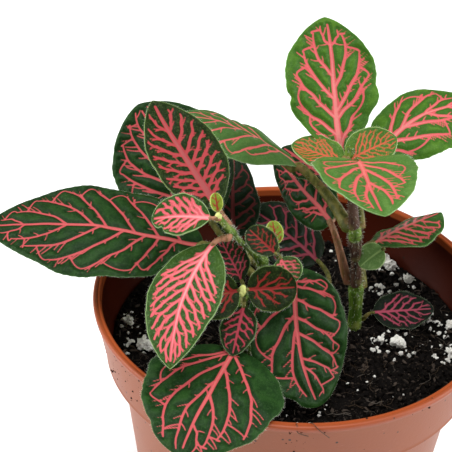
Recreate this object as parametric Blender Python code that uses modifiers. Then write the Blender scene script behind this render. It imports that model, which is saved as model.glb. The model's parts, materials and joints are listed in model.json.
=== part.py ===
"""A nerve plant in a plastic nursery pot.

The pot stands on the plane z = 0 with its axis on Z. Four leafy shoots grow from the peat:
"tall" on the +X side, and "left", "middle" and "inner" on the -X side. The front is -Y.
Every leaf, stem length, perlite grain, the peat and the pot is one closed solid of its own.
"""

import math
from dataclasses import dataclass

import bmesh
import bpy
from mathutils import Vector

MM = 0.001

# Pot, turned about Z.
RIM_RADIUS = 52.5 * MM
POT_HEIGHT = 88.0 * MM
LIP_WIDTH = 2.2 * MM
LIP_DROP = 1.6 * MM
COLLAR_HEIGHT = 17.7 * MM
COLLAR_FOOT_RADIUS = 48.6 * MM
WALL_TOP_RADIUS = 45.4 * MM
WALL_TAPER = 0.13
WALL = 1.4 * MM
BASE_ROUNDING = 2.5 * MM
TURNING_STEPS = 64

# Six drain holes near the rounded edge of the floor leave its middle whole.
DRAIN_HOLES = 6
DRAIN_RADIUS = 3.5 * MM
DRAIN_CIRCLE = 27.0 * MM

# Peat filling, slightly heaped in the middle.
SOIL_EDGE_LEVEL = 73.0 * MM
SOIL_HEAP = 1.2 * MM
GAP = 0.3 * MM

# Leaves: a thin blade on a thicker stalk.
BLADE_THICKNESS = 0.5 * MM
STALK_THICKNESS = 1.3 * MM
STALK_HALF_WIDTH = 0.65 * MM
TIP_HALF_WIDTH = 0.25 * MM
STALK_STEPS = 4
ACROSS_STEPS = 4

STEM_BEVEL_RESOLUTION = 2
KNOT_GAP = 0.8 * MM

COLLECTION_NAME = "potted_nerve_plant"
CUTTER_COLLECTION_NAME = "cutters"


@dataclass
class Leaf:
    """One leaf, in millimetres and degrees.

    root is where its stalk leaves the stem and base is where the blade begins. From there the
    midrib runs along heading (0 is +X, 90 is +Y) and pitch (up is positive). droop lowers the
    pitch and sway turns the heading between base and tip. roll lifts the left half, fold lifts
    both halves, and bow bends both edges down. widest, base_round and tip_round set the outline.
    stalk_bend is how far the stalk keeps to the midrib's line before it turns to its root.
    """

    name: str
    root: tuple
    base: tuple
    heading: float
    pitch: float
    length: float
    width: float
    droop: float = 0
    sway: float = 0
    roll: float = 0
    twist: float = 0
    fold: float = 4
    bow: float = 0.0
    widest: float = 0.45
    base_round: float = 0.6
    tip_round: float = 0.7
    steps: int = 10
    stalk_bend: float = 0.5
    look: str = "leaf_old"


@dataclass
class StemPiece:
    """One length of stem between two knots: its route and its radius at both ends, in mm."""

    name: str
    points: tuple
    radii: tuple
    look: str = "stem_green"


TALL_FOOT = (17, 6, 74.8)
TALL_KNOT_1 = (16.4, 5.5, 87)
TALL_KNOT_2 = (14.6, 3, 106)
TALL_KNOT_3 = (11.3, 3, 126)
LEFT_FOOT = (-3, 5, 74.8)
LEFT_KNOT_1 = (-7, 2, 88)
LEFT_KNOT_2 = (-8.6, -6.5, 102)
LEFT_KNOT_3 = (-15.8, -20, 119.5)
MIDDLE_FOOT = (-10, -8, 75.1)
MIDDLE_KNOT_1 = (-12, -18, 91)
MIDDLE_KNOT_2 = (-12.3, -18.4, 100)
INNER_FOOT = (1, -2, 75.1)
INNER_KNOT_1 = (1, -6, 84)
INNER_KNOT_2 = (-1, -10, 100)

LEAVES = (
    # Tall shoot: pairs at three knots and a young pair at the tip.
    Leaf("leaf_tall_upright", root=(10.6, 5, 126.6), base=(9, 6.5, 128), heading=111, pitch=53,
         length=35, width=24.5, droop=6, sway=-8, fold=4, widest=0.52, base_round=0.88,
         tip_round=0.75, look="leaf_young"),
    Leaf("leaf_tall_front", root=(12, 1, 127.4), base=(13, -0.6, 130.4), heading=277, pitch=22,
         length=35, width=25, droop=22, sway=7, roll=2, fold=11, widest=0.33, base_round=0.46,
         tip_round=0.62, look="leaf_young"),
    Leaf("leaf_tall_young_left", root=(10, 2.4, 128.8), base=(9.2, 1.4, 129), heading=168,
         pitch=13, length=12.5, width=9, droop=3, sway=4, roll=-14, fold=9, steps=7,
         look="leaf_young"),
    Leaf("leaf_tall_young_right", root=(11.5, 3.4, 128.6), base=(11.8, 3.4, 129), heading=22,
         pitch=40, length=12, width=9, droop=12, roll=24, fold=9, steps=7, look="leaf_young"),
    Leaf("leaf_tall_left_long", root=(12.6, 4.4, 107.4), base=(-1, 15, 118), heading=172,
         pitch=36, length=36, width=24, droop=38, sway=8, roll=14, twist=-16, fold=-7, bow=0.12,
         widest=0.6, base_round=0.9),
    Leaf("leaf_tall_right", root=(16.1, 4.4, 108.2), base=(18, 11, 125), heading=40, pitch=44,
         length=35, width=23, droop=58, sway=-18, roll=12, fold=-13, widest=0.5,
         tip_round=0.85, look="leaf_young"),
    Leaf("leaf_tall_hidden", root=(10.4, 5, 121), base=(6.5, 16.5, 114), heading=142, pitch=12,
         length=16, width=10, droop=5, roll=-20, steps=8),
    Leaf("leaf_tall_low_left", root=(13.9, 5.8, 89.2), base=(8, 8, 106), heading=123, pitch=6,
         length=30, width=16, droop=2, roll=-60, fold=-18, base_round=0.5, stalk_bend=0.15),
    Leaf("leaf_tall_low_right", root=(17.9, 7.2, 87.6), base=(20, 17, 94), heading=43, pitch=8,
         length=25.5, width=19, droop=12, sway=-4, roll=-22, twist=8, fold=-18,
         base_round=0.75, tip_round=0.75),
    Leaf("leaf_on_soil", root=(19.6, 8.5, 75.2), base=(24, 10, 77.5), heading=8, pitch=6,
         length=14, width=11, droop=4, roll=20, fold=-1, steps=8, look="leaf_shaded"),
    # Left shoot.
    Leaf("leaf_left_upright_young", root=(-16.8, -18.2, 120.6), base=(-20, -13, 122),
         heading=144, pitch=42, length=31, width=19.5, droop=8, sway=-12, roll=-8, fold=6,
         widest=0.43, base_round=0.65, tip_round=0.82, look="leaf_young"),
    Leaf("leaf_left_front_pink", root=(-16.6, -21.6, 119), base=(-20, -23, 118), heading=237,
         pitch=-22, length=33.5, width=18.5, droop=18, sway=38, roll=8, fold=0, bow=0.03,
         widest=0.39, base_round=0.7, tip_round=0.87, look="leaf_pink"),
    Leaf("leaf_left_tip", root=(-19.6, -21.6, 124.4), base=(-21, -22, 124.7), heading=168,
         pitch=-4, length=15, width=11, droop=18, sway=4, roll=-34, fold=14, widest=0.5,
         base_round=0.75, steps=7, look="leaf_pink"),
    Leaf("leaf_left_bud", root=(-19, -20.4, 124.8), base=(-19.4, -20.2, 125.4), heading=110,
         pitch=50, length=4.6, width=3.2, fold=12, widest=0.5, base_round=0.5, tip_round=0.5,
         steps=5, look="leaf_bud"),
    Leaf("leaf_left_long", root=(-10.2, -6, 102), base=(-24, -2, 103), heading=182,
         pitch=12, length=57, width=32, droop=22, sway=-3, roll=-12, fold=-2, bow=0.05,
         widest=0.47, tip_round=0.85, steps=12),
    Leaf("leaf_left_back_round", root=(-8.8, 3, 88.4), base=(-23, 11, 101.3), heading=145,
         pitch=42, length=37, width=32, droop=4, sway=-8, roll=-30, fold=-2, bow=0.1,
         widest=0.52),
    Leaf("leaf_left_shaded", root=(-6.2, 4, 89.4), base=(-17, 12, 96), heading=98, pitch=26,
         length=28, width=15.5, droop=4, sway=-6, roll=20, fold=2, widest=0.36,
         stalk_bend=0.1, look="leaf_shaded"),
    # Middle shoot, whose tip leans to the front.
    Leaf("leaf_middle_pair_left", root=(-13.2, -22.6, 104.4), base=(-13.4, -23.2, 104.9), heading=205,
         pitch=-3, length=11.5, width=12, roll=-50, fold=9, widest=0.5, base_round=0.52,
         tip_round=0.52, steps=7),
    Leaf("leaf_middle_pair_right", root=(-11.6, -22.4, 104.4), base=(-11.2, -22.8, 105.1),
         heading=4, pitch=5, length=12, width=11.5, sway=2, roll=56, fold=11, widest=0.49,
         base_round=0.46, tip_round=0.47, steps=7),
    Leaf("leaf_middle_back", root=(-12.6, -16.2, 99.8), base=(-13.2, -12.8, 100.2), heading=150,
         pitch=56, length=13, width=10, roll=-16, steps=7, look="leaf_pink"),
    Leaf("leaf_middle_hanging", root=(-12.2, -20.6, 99.4), base=(-12, -21.7, 99), heading=258,
         pitch=-20, length=13.5, width=11.5, droop=8, fold=6, steps=7, look="leaf_shaded"),
    Leaf("leaf_middle_rim_drape", root=(-12.4, -20.2, 90), base=(-13.2, -29.6, 91.8), heading=254,
         pitch=10, length=36, width=34, droop=40, roll=-4, fold=-2, bow=0.1, widest=0.37,
         tip_round=0.6),
    # Inner shoot.
    Leaf("leaf_inner_pair_left", root=(-5.4, -14, 110), base=(-5.2, -15, 111),
         heading=142, pitch=18, length=9.5, width=7, roll=-32, fold=8, widest=0.5,
         base_round=0.46, tip_round=0.52, steps=7),
    Leaf("leaf_inner_pair_right", root=(-4, -14, 109.4), base=(-3.8, -14.8, 109.4),
         heading=310, pitch=-26, length=7, width=7.5, droop=12, roll=20, fold=10, widest=0.5,
         base_round=0.5, tip_round=0.58, steps=6, look="leaf_pink"),
    Leaf("leaf_inner_bud", root=(-4.6, -12, 110.4), base=(-5, -11.2, 111.2), heading=110,
         pitch=40, length=6, width=4.4, roll=-10, widest=0.5, base_round=0.5, tip_round=0.5,
         steps=5, look="leaf_bud"),
    Leaf("leaf_inner_large", root=(0.6, -9.8, 101), base=(0, -13.4, 106), heading=275,
         pitch=-50, length=35, width=26, sway=36, fold=-4, bow=0.08, widest=0.47,
         base_round=0.45, tip_round=0.56),
    Leaf("leaf_inner_shaded", root=(1.8, -4.6, 85), base=(6, 17, 87), heading=155, pitch=32,
         length=23, width=20, droop=8, sway=10, roll=-13, fold=-4, widest=0.47,
         base_round=0.45, tip_round=0.63, look="leaf_shaded"),
)

STEMS = (
    StemPiece("stem_tall_lower", (TALL_FOOT, (16.9, 5.9, 80), TALL_KNOT_1), (1.7, 1.7, 1.9)),
    StemPiece("stem_tall_middle", (TALL_KNOT_1, (15.6, 4.2, 97), TALL_KNOT_2), (1.4, 1.3, 1.7),
              "stem_brown"),
    StemPiece("stem_tall_upper", (TALL_KNOT_2, (13.2, 2.6, 116), TALL_KNOT_3),
              (1.4, 1.2, 1.5), "stem_brown"),
    StemPiece("stem_tall_tip", (TALL_KNOT_3, (10.9, 3, 128.2)), (0.8, 0.5)),
    StemPiece("stem_left_lower", (LEFT_FOOT, (-4.6, 4.4, 80), LEFT_KNOT_1), (1.7, 1.5, 1.7)),
    StemPiece("stem_left_middle", (LEFT_KNOT_1, (-8, -2.4, 95.6), LEFT_KNOT_2),
              (1.4, 1.2, 1.5)),
    StemPiece("stem_left_upper", (LEFT_KNOT_2, (-12.3, -10.6, 109), (-14.6, -15.2, 114.6),
                                LEFT_KNOT_3), (1.2, 1.0, 1.0, 1.4)),
    StemPiece("stem_left_tip", (LEFT_KNOT_3, (-18.6, -21.2, 124)), (0.9, 0.7)),
    StemPiece("stem_middle_lower", (MIDDLE_FOOT, (-11.4, -13.6, 81), MIDDLE_KNOT_1),
              (1.5, 1.3, 1.6)),
    StemPiece("stem_middle_upper", (MIDDLE_KNOT_1, (-12.3, -17.6, 95), MIDDLE_KNOT_2),
              (1.2, 1.1, 1.3)),
    StemPiece("stem_middle_tip", (MIDDLE_KNOT_2, (-12.3, -21.6, 103.6)), (0.9, 0.7)),
    StemPiece("stem_inner_lower", (INNER_FOOT, (1.4, -4, 78), INNER_KNOT_1), (1.5, 1.3, 1.5)),
    StemPiece("stem_inner_middle", (INNER_KNOT_1, (0.4, -7.4, 92), INNER_KNOT_2),
              (1.2, 1.1, 1.4)),
    StemPiece("stem_inner_tip", (INNER_KNOT_2, (-3, -11.4, 105.6), (-4.7, -12.8, 109)),
              (1.0, 0.8, 0.7)),
)

# Larger perlite grains that lie on the peat: x, y and radius in mm.
PERLITE_GRAINS = (
    (25.0, 36.8, 3.0),
    (32.0, 29.5, 2.0),
    (24.0, 24.0, 1.4),
    (43.5, 9.5, 2.2),
    (37.0, 11.0, 1.5),
    (28.5, -1.0, 2.6),
    (24.0, -0.5, 1.6),
    (43.0, -3.0, 2.0),
    (-44.0, 0.5, 1.8),
    (-38.5, -9.5, 2.6),
)

LOOKS = {
    "pot_plastic": ((0.42, 0.16, 0.09), 0.45),
    "peat": ((0.012, 0.009, 0.007), 0.95),
    "perlite": ((0.72, 0.71, 0.66), 0.9),
    "stem_green": ((0.13, 0.22, 0.05), 0.55),
    "stem_brown": ((0.09, 0.05, 0.04), 0.7),
    "leaf_old": ((0.03, 0.12, 0.03), 0.5),
    "leaf_young": ((0.1, 0.26, 0.05), 0.5),
    "leaf_pink": ((0.6, 0.12, 0.16), 0.5),
    "leaf_shaded": ((0.03, 0.08, 0.05), 0.5),
    "leaf_bud": ((0.3, 0.4, 0.06), 0.5),
}


def clear_scene():
    """Removes every object, so that the model stands alone in the scene."""
    for old in list(bpy.data.objects):
        bpy.data.objects.remove(old, do_unlink=True)


def make_collection(name):
    """Adds a collection to the scene."""
    made = bpy.data.collections.new(name)
    bpy.context.scene.collection.children.link(made)
    return made


def make_material(name):
    """Makes a Principled material from LOOKS."""
    colour, roughness = LOOKS[name]
    material = bpy.data.materials.new(name)
    material.use_nodes = True
    shader = material.node_tree.nodes["Principled BSDF"]
    shader.inputs["Base Color"].default_value = (*colour, 1.0)
    shader.inputs["Roughness"].default_value = roughness
    shader.inputs["Metallic"].default_value = 0.0
    return material


def finish_object(name, data, look, collection):
    """Gives data an object of its own with the look, and links it."""
    made = bpy.data.objects.new(name, data)
    data.materials.append(materials[look])
    collection.objects.link(made)
    return made


def turned(name, profile, look, collection):
    """Turns a closed profile, given down its outer side and back up its axis, about Z."""
    mesh = bpy.data.meshes.new(name)
    shape = bmesh.new()
    points = [shape.verts.new((radius, 0, height)) for radius, height in profile]
    for start, end in zip(points, points[1:]):
        shape.edges.new((start, end))
    shape.to_mesh(mesh)
    shape.free()
    made = finish_object(name, mesh, look, collection)
    screw = made.modifiers.new("turn", "SCREW")
    screw.axis = "Z"
    screw.steps = TURNING_STEPS
    screw.render_steps = TURNING_STEPS
    screw.use_merge_vertices = True
    screw.merge_threshold = 0.01 * MM
    screw.use_smooth_shade = True
    return made


def arc(centre, radius, start, end, steps):
    """Points on an arc in the profile's plane, with angles in degrees."""
    found = []
    for step in range(steps + 1):
        angle = math.radians(start + (end - start) * step / steps)
        found.append((centre[0] + radius * math.cos(angle), centre[1] + radius * math.sin(angle)))
    return found


def wall_radius(height):
    """The pot's outer radius below the collar."""
    collar_foot = POT_HEIGHT - COLLAR_HEIGHT
    return WALL_TOP_RADIUS - WALL_TAPER * (collar_foot - height)


def inner_radius(height):
    """The pot's inner radius at a height above its floor."""
    collar_foot = POT_HEIGHT - COLLAR_HEIGHT
    if height <= collar_foot:
        return wall_radius(height) - WALL
    share = (height - collar_foot) / COLLAR_HEIGHT
    foot = COLLAR_FOOT_RADIUS - WALL
    lip = RIM_RADIUS - LIP_WIDTH
    return foot + (lip - foot) * share


def make_pot(collection, cutters):
    """The turned pot with its rolled lip, stepped collar and floor, and its drain holes."""
    collar_foot = POT_HEIGHT - COLLAR_HEIGHT
    corner = wall_radius(BASE_ROUNDING) - BASE_ROUNDING
    outside = [(RIM_RADIUS - LIP_WIDTH / 2, POT_HEIGHT)]
    outside += arc((RIM_RADIUS - 0.6 * MM, POT_HEIGHT - 0.6 * MM), 0.6 * MM, 70, 0, 3)
    outside += [
        (RIM_RADIUS, POT_HEIGHT - LIP_DROP),
        (RIM_RADIUS - 0.5 * MM, POT_HEIGHT - LIP_DROP - 0.3 * MM),
        (COLLAR_FOOT_RADIUS + 0.1 * MM, collar_foot + 0.8 * MM),
        (COLLAR_FOOT_RADIUS - 0.4 * MM, collar_foot),
        (WALL_TOP_RADIUS + 0.4 * MM, collar_foot),
        (WALL_TOP_RADIUS, collar_foot - 0.6 * MM),
    ]
    outside += arc((corner, BASE_ROUNDING), BASE_ROUNDING, 0, -90, 4)
    inner_corner = BASE_ROUNDING - WALL
    inside = arc((corner, BASE_ROUNDING), inner_corner, -90, 0, 3)
    inside += [
        (inner_radius(collar_foot), collar_foot),
        (COLLAR_FOOT_RADIUS - WALL, collar_foot + WALL),
        (inner_radius(POT_HEIGHT) - 0.1 * MM, POT_HEIGHT - 2.4 * MM),
        (inner_radius(POT_HEIGHT), POT_HEIGHT - 0.5 * MM),
    ]
    profile = outside + [(0, 0), (0, WALL)] + inside + [outside[0]]
    pot = turned("pot", profile, "pot_plastic", collection)

    holes = bmesh.new()
    for hole in range(DRAIN_HOLES):
        angle = 2 * math.pi * hole / DRAIN_HOLES
        drill = bmesh.ops.create_cone(
            holes, cap_ends=True, segments=20, radius1=DRAIN_RADIUS, radius2=DRAIN_RADIUS,
            depth=4 * WALL,
        )
        place = Vector((math.cos(angle), math.sin(angle), 0)) * DRAIN_CIRCLE
        bmesh.ops.translate(holes, vec=place, verts=drill["verts"])
    mesh = bpy.data.meshes.new("drain_hole_cutter")
    holes.to_mesh(mesh)
    holes.free()
    cutter = bpy.data.objects.new("drain_hole_cutter", mesh)
    cutter.hide_render = True
    cutter.display_type = "WIRE"
    cutters.objects.link(cutter)
    drilled = pot.modifiers.new("drain holes", "BOOLEAN")
    drilled.operation = "DIFFERENCE"
    drilled.solver = "EXACT"
    drilled.object = cutter


def soil_level(radius):
    """The peat's height at a distance from the axis."""
    share = min(radius / inner_radius(SOIL_EDGE_LEVEL), 1)
    return SOIL_EDGE_LEVEL + SOIL_HEAP * (1 - share**2)


def make_soil(collection):
    """The peat that fills the pot, clear of its wall and floor by GAP."""
    collar_foot = POT_HEIGHT - COLLAR_HEIGHT
    edge = inner_radius(SOIL_EDGE_LEVEL) - GAP
    rings = 6
    top = [(edge * ring / rings, soil_level(edge * ring / rings)) for ring in range(rings + 1)]
    bottom_level = WALL + GAP
    floor_corner = wall_radius(BASE_ROUNDING) - BASE_ROUNDING
    down = [
        (COLLAR_FOOT_RADIUS - WALL - GAP, collar_foot + WALL + GAP),
        (inner_radius(collar_foot) - GAP, collar_foot),
        (inner_radius(BASE_ROUNDING) - 2 * GAP, BASE_ROUNDING + GAP),
        (floor_corner, bottom_level),
        (0, bottom_level),
    ]
    turned("soil", top + down, "peat", collection)


def make_grain(number, grain, collection):
    """One lumpy perlite grain that rests just above the peat."""
    x, y, radius = (value * MM for value in grain)
    shape = bmesh.new()
    bmesh.ops.create_icosphere(shape, subdivisions=2, radius=radius)
    for vert in shape.verts:
        direction = vert.co.normalized()
        lump = math.sin(3 * direction.x + number) * math.cos(2 * direction.y - number)
        vert.co *= 1 + 0.14 * lump
        vert.co.z *= 0.75
    lowest = min(vert.co.z for vert in shape.verts)
    height = soil_level(math.hypot(x, y)) + 2 * GAP - lowest
    bmesh.ops.translate(shape, vec=(x, y, height), verts=shape.verts)
    mesh = bpy.data.meshes.new(f"perlite_{number:02d}")
    shape.to_mesh(mesh)
    shape.free()
    mesh.shade_smooth()
    finish_object(f"perlite_{number:02d}", mesh, "perlite", collection)


def make_stem(piece, collection):
    """A round length of stem, shortened at its lower end so that the knots keep a gap."""
    points = [Vector(point) * MM for point in piece.points]
    first_run = points[1] - points[0]
    if "lower" not in piece.name:
        points[0] += first_run.normalized() * KNOT_GAP
    curve = bpy.data.curves.new(piece.name, "CURVE")
    curve.dimensions = "3D"
    curve.bevel_depth = MM
    curve.bevel_resolution = STEM_BEVEL_RESOLUTION
    curve.use_fill_caps = True
    spline = curve.splines.new("POLY")
    spline.points.add(len(points) - 1)
    for knot, point, radius in zip(spline.points, points, piece.radii):
        knot.co = (*point, 1)
        knot.radius = radius
    finish_object(piece.name, curve, piece.look, collection)


def outline(leaf, along):
    """The blade's half width at a share of its length, as a share of the widest."""
    if along < leaf.widest:
        reach = (leaf.widest - along) / leaf.widest
        return max(1 - reach**2, 0) ** leaf.base_round
    reach = (along - leaf.widest) / (1 - leaf.widest)
    return max(1 - reach**2, 0) ** leaf.tip_round


def leaf_axes(leaf, along):
    """The midrib's direction, the blade's left and its upper normal at a share of its length."""
    heading = math.radians(leaf.heading + leaf.sway * along)
    pitch = math.radians(leaf.pitch - leaf.droop * along)
    roll = math.radians(leaf.roll + leaf.twist * along)
    forward = Vector(
        (math.cos(pitch) * math.cos(heading), math.cos(pitch) * math.sin(heading), math.sin(pitch))
    )
    level = Vector((-math.sin(heading), math.cos(heading), 0))
    upright = forward.cross(level)
    left = level * math.cos(roll) + upright * math.sin(roll)
    normal = upright * math.cos(roll) - level * math.sin(roll)
    return forward, left, normal


def midrib(leaf):
    """Points along the blade's midrib, one more than its steps."""
    points = [Vector(leaf.base)]
    for step in range(leaf.steps):
        forward = leaf_axes(leaf, (step + 0.5) / leaf.steps)[0]
        points.append(points[-1] + forward * leaf.length / leaf.steps)
    return points


def stalk_point(leaf, share):
    """A point on the stalk, a curve from root that meets the base along the midrib."""
    root, base = Vector(leaf.root), Vector(leaf.base)
    bend = base - leaf_axes(leaf, 0)[0] * (base - root).length * leaf.stalk_bend
    return root * (1 - share) ** 2 + bend * 2 * share * (1 - share) + base * share**2


def make_leaf(leaf, collection):
    """A leaf from a flat grid: its first steps become the stalk and the rest the blade."""
    columns = STALK_STEPS + leaf.steps
    shape = bmesh.new()
    bmesh.ops.create_grid(shape, x_segments=columns, y_segments=ACROSS_STEPS, size=1)
    rib = midrib(leaf)
    thick = []
    for vert in shape.verts:
        column = round((vert.co.x + 1) / 2 * columns)
        side = vert.co.y
        blade_step = max(column - STALK_STEPS, 0)
        along = blade_step / leaf.steps
        _, left, normal = leaf_axes(leaf, along)
        if blade_step == 0:
            middle = stalk_point(leaf, column / STALK_STEPS)
            half = STALK_HALF_WIDTH / MM
            thick.append(vert.index)
        else:
            middle = rib[blade_step]
            half = max(leaf.width / 2 * outline(leaf, along), TIP_HALF_WIDTH / MM)
        reach = abs(side) * half
        fold = math.radians(leaf.fold)
        across = math.copysign(reach * math.cos(fold), side)
        lift = reach * math.sin(fold) - leaf.bow * reach**2 / (leaf.width / 2)
        vert.co = (middle + left * across + normal * lift) * MM
    bmesh.ops.recalc_face_normals(shape, faces=shape.faces)
    mesh = bpy.data.meshes.new(leaf.name)
    shape.to_mesh(mesh)
    shape.free()
    mesh.shade_smooth()
    made = finish_object(leaf.name, mesh, leaf.look, collection)

    stalk = made.vertex_groups.new(name="stalk")
    every = [vert.index for vert in mesh.vertices]
    stalk.add(every, BLADE_THICKNESS / STALK_THICKNESS, "REPLACE")
    stalk.add(thick, 1.0, "REPLACE")
    solid = made.modifiers.new("thickness", "SOLIDIFY")
    solid.thickness = STALK_THICKNESS
    solid.offset = 0
    solid.vertex_group = "stalk"


clear_scene()
materials = {name: make_material(name) for name in LOOKS}
model = make_collection(COLLECTION_NAME)
cutter_collection = make_collection(CUTTER_COLLECTION_NAME)
make_pot(model, cutter_collection)
make_soil(model)
for stem_piece in STEMS:
    make_stem(stem_piece, model)
for one_leaf in LEAVES:
    make_leaf(one_leaf, model)
for grain_number, one_grain in enumerate(PERLITE_GRAINS, start=1):
    make_grain(grain_number, one_grain, model)
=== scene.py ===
# %% [markdown]
# # A nerve plant in its nursery pot
# The imported CAD model is the frame: it says where the pot, the peat, every stem and every leaf
# are. This script builds the fine surface around it. Loading the frame comes first, because
# every piece is placed by it, and its outer box is kept, so that the sizes of both can be
# printed side by side at the end.

import json
import math
import random
from dataclasses import dataclass

import bmesh
import bpy
import numpy as np
from mathutils import Matrix, Vector, noise


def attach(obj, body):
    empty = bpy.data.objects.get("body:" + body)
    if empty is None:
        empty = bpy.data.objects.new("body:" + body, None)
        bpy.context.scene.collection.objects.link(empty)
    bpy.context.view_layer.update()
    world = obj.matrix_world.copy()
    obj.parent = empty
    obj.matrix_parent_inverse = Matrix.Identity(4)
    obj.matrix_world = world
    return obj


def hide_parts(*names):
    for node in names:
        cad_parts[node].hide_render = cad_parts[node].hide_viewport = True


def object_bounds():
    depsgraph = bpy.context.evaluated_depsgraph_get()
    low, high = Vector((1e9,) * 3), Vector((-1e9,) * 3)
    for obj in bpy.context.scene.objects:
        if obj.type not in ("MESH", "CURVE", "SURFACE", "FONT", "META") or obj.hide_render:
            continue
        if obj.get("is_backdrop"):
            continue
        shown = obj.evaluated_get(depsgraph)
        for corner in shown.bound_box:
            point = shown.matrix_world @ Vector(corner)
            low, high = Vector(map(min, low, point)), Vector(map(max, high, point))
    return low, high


MM = 0.001
UP = Vector((0, 0, 1))

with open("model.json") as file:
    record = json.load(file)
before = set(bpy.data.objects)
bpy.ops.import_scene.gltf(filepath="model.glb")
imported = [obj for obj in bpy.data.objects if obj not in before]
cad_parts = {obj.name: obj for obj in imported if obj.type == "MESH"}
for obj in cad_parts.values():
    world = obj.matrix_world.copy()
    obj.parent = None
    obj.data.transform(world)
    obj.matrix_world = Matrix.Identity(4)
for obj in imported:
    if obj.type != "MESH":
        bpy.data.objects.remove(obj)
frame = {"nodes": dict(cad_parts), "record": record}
cad_low, cad_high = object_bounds()
slots = {part["node"]: part["material_slot"] for part in frame["record"]["subparts"]}
print("CAD nodes:", len(frame["nodes"]))

# %% [markdown]
# ## Camera
# A close view from above the front edge of the pot. A long lens keeps the leaves from looking
# stretched, and the slight roll is that of a camera held by hand. The camera is built first, so
# that each later piece can be judged in its view.

# %% Camera
CAMERA_PLACE = Vector((0, -0.317, 0.3234))
CAMERA_TARGET = Vector((-0.019, 0.0092, 0.1015))
CAMERA_ROLL = math.radians(2.42)
LENS = 119.5
SENSOR = 36


def as_object(name, data):
    """Makes an object for a mesh, lamp or camera and links it to the scene."""
    made = bpy.data.objects.new(name, data)
    bpy.context.scene.collection.objects.link(made)
    return made


lens = bpy.data.cameras.new("camera")
lens.lens = LENS
lens.sensor_width = SENSOR
lens.clip_start = 0.01
camera = as_object("camera", lens)
looking = (CAMERA_TARGET - CAMERA_PLACE).to_track_quat("-Z", "Y").to_matrix().to_4x4()
camera.matrix_world = (
    Matrix.Translation(CAMERA_PLACE) @ looking @ Matrix.Rotation(CAMERA_ROLL, 4, "Z")
)
bpy.context.scene.camera = camera
print("camera at", [round(value, 3) for value in CAMERA_PLACE])

# %% [markdown]
# ## Colours and node helpers
# Colours are given on a 0 to 255 scale, and a shader wants them in linear light, so one small
# function converts them. The others keep each material short: one adds a node and fills its
# inputs, and the rest wrap the nodes that come up again and again.

# %% Colour and node helpers
def tint(red, green, blue):
    """A linear colour from one given on a 0 to 255 scale."""
    linear = [
        value / 255 / 12.92 if value <= 10 else ((value / 255 + 0.055) / 1.055) ** 2.4
        for value in (red, green, blue)
    ]
    return (*linear, 1.0)


def add(tree, kind, inputs=None, **settings):
    """Adds a node, sets its properties, and links or sets its inputs."""
    made = tree.nodes.new("ShaderNode" + kind)
    for name, value in settings.items():
        setattr(made, name, value)
    for name, value in (inputs or {}).items():
        if isinstance(value, bpy.types.NodeSocket):
            tree.links.new(value, made.inputs[name])
        else:
            made.inputs[name].default_value = value
    return made


def blend(tree, mask, under, over):
    """The colour under, with the colour over laid on it where the mask is 1."""
    mix = add(tree, "Mix", {0: mask, 6: under, 7: over}, data_type="RGBA")
    return mix.outputs[2]


def step(tree, value, start, end):
    """A soft step: 0 where value is at start, and 1 where it is at end."""
    ramp = add(
        tree, "MapRange", {"Value": value, "From Min": start, "From Max": end},
        interpolation_type="SMOOTHSTEP",
    )
    return ramp.outputs["Result"]


def spread(tree, mask, low, high):
    """A value that runs from low to high while the mask runs from 0 to 1."""
    return add(
        tree, "MapRange", {"Value": mask, "To Min": low, "To Max": high}
    ).outputs["Result"]


def product(tree, first, second):
    """The product of two values."""
    return add(tree, "Math", {0: first, 1: second}, operation="MULTIPLY").outputs[0]


def speckles(tree, place, scale, detail=3.0, roughness=0.5):
    """Noise at a place; scale counts features per metre."""
    settings = {"Vector": place, "Scale": scale, "Detail": detail, "Roughness": roughness}
    return add(tree, "TexNoise", settings).outputs["Fac"]


def cloud(tree, scale, detail=3.0, roughness=0.55):
    """Noise on Object coordinates."""
    return speckles(tree, add(tree, "TexCoord").outputs["Object"], scale, detail, roughness)


def start_group(name, inputs, outputs):
    """A shader node group with named sockets; returns its tree, input node and output node."""
    tree = bpy.data.node_groups.new(name, "ShaderNodeTree")
    kinds = {"F": "NodeSocketFloat", "C": "NodeSocketColor"}
    for socket, kind in inputs:
        tree.interface.new_socket(socket, in_out="INPUT", socket_type=kinds[kind])
    for socket, kind in outputs:
        tree.interface.new_socket(socket, in_out="OUTPUT", socket_type=kinds[kind])
    return tree, tree.nodes.new("NodeGroupInput"), tree.nodes.new("NodeGroupOutput")


def start_material(name, roughness=0.5, specular=0.5):
    """A material with a plain Principled shader; returns the material, its tree and the shader."""
    material = bpy.data.materials.new(name)
    material.use_nodes = True
    shader = material.node_tree.nodes["Principled BSDF"]
    shader.inputs["Roughness"].default_value = roughness
    shader.inputs["Specular IOR Level"].default_value = specular
    return material, material.node_tree, shader


def raise_surface(tree, shader, height, distance, strength=1.0):
    """Feeds a height into the shader's normal; distance is in metres."""
    bump = add(tree, "Bump", {"Height": height, "Distance": distance, "Strength": strength})
    tree.links.new(bump.outputs["Normal"], shader.inputs["Normal"])


# %% [markdown]
# ## Pieces and tubes
# Every finished piece goes through one function: it becomes an object at the origin, rides on
# the plant's only body, hides the CAD node that it stands for, and prints its number of faces.
# Stems, stalks, fibres and midribs are all tubes. A tube could be a curve object, but here it has
# to share a mesh with a leaf blade, so a ring is extruded along the route and turned as it goes.

# %% Piece and tube helpers
def as_mesh(name, shape, looks=()):
    """Turns a bmesh into a mesh with materials, and frees the bmesh."""
    mesh = bpy.data.meshes.new(name)
    shape.to_mesh(mesh)
    shape.free()
    for look in looks:
        mesh.materials.append(look)
    return mesh


def piece(name, shape, looks, stands_for=(), smooth=True):
    """Makes a finished piece from a bmesh."""
    mesh = as_mesh(name, shape, looks)
    if smooth:
        mesh.shade_smooth()
    made = as_object(name, mesh)
    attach(made, "root")
    if stands_for:
        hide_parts(*stands_for)
    print(f"{name}: {len(mesh.polygons)} faces")


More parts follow.
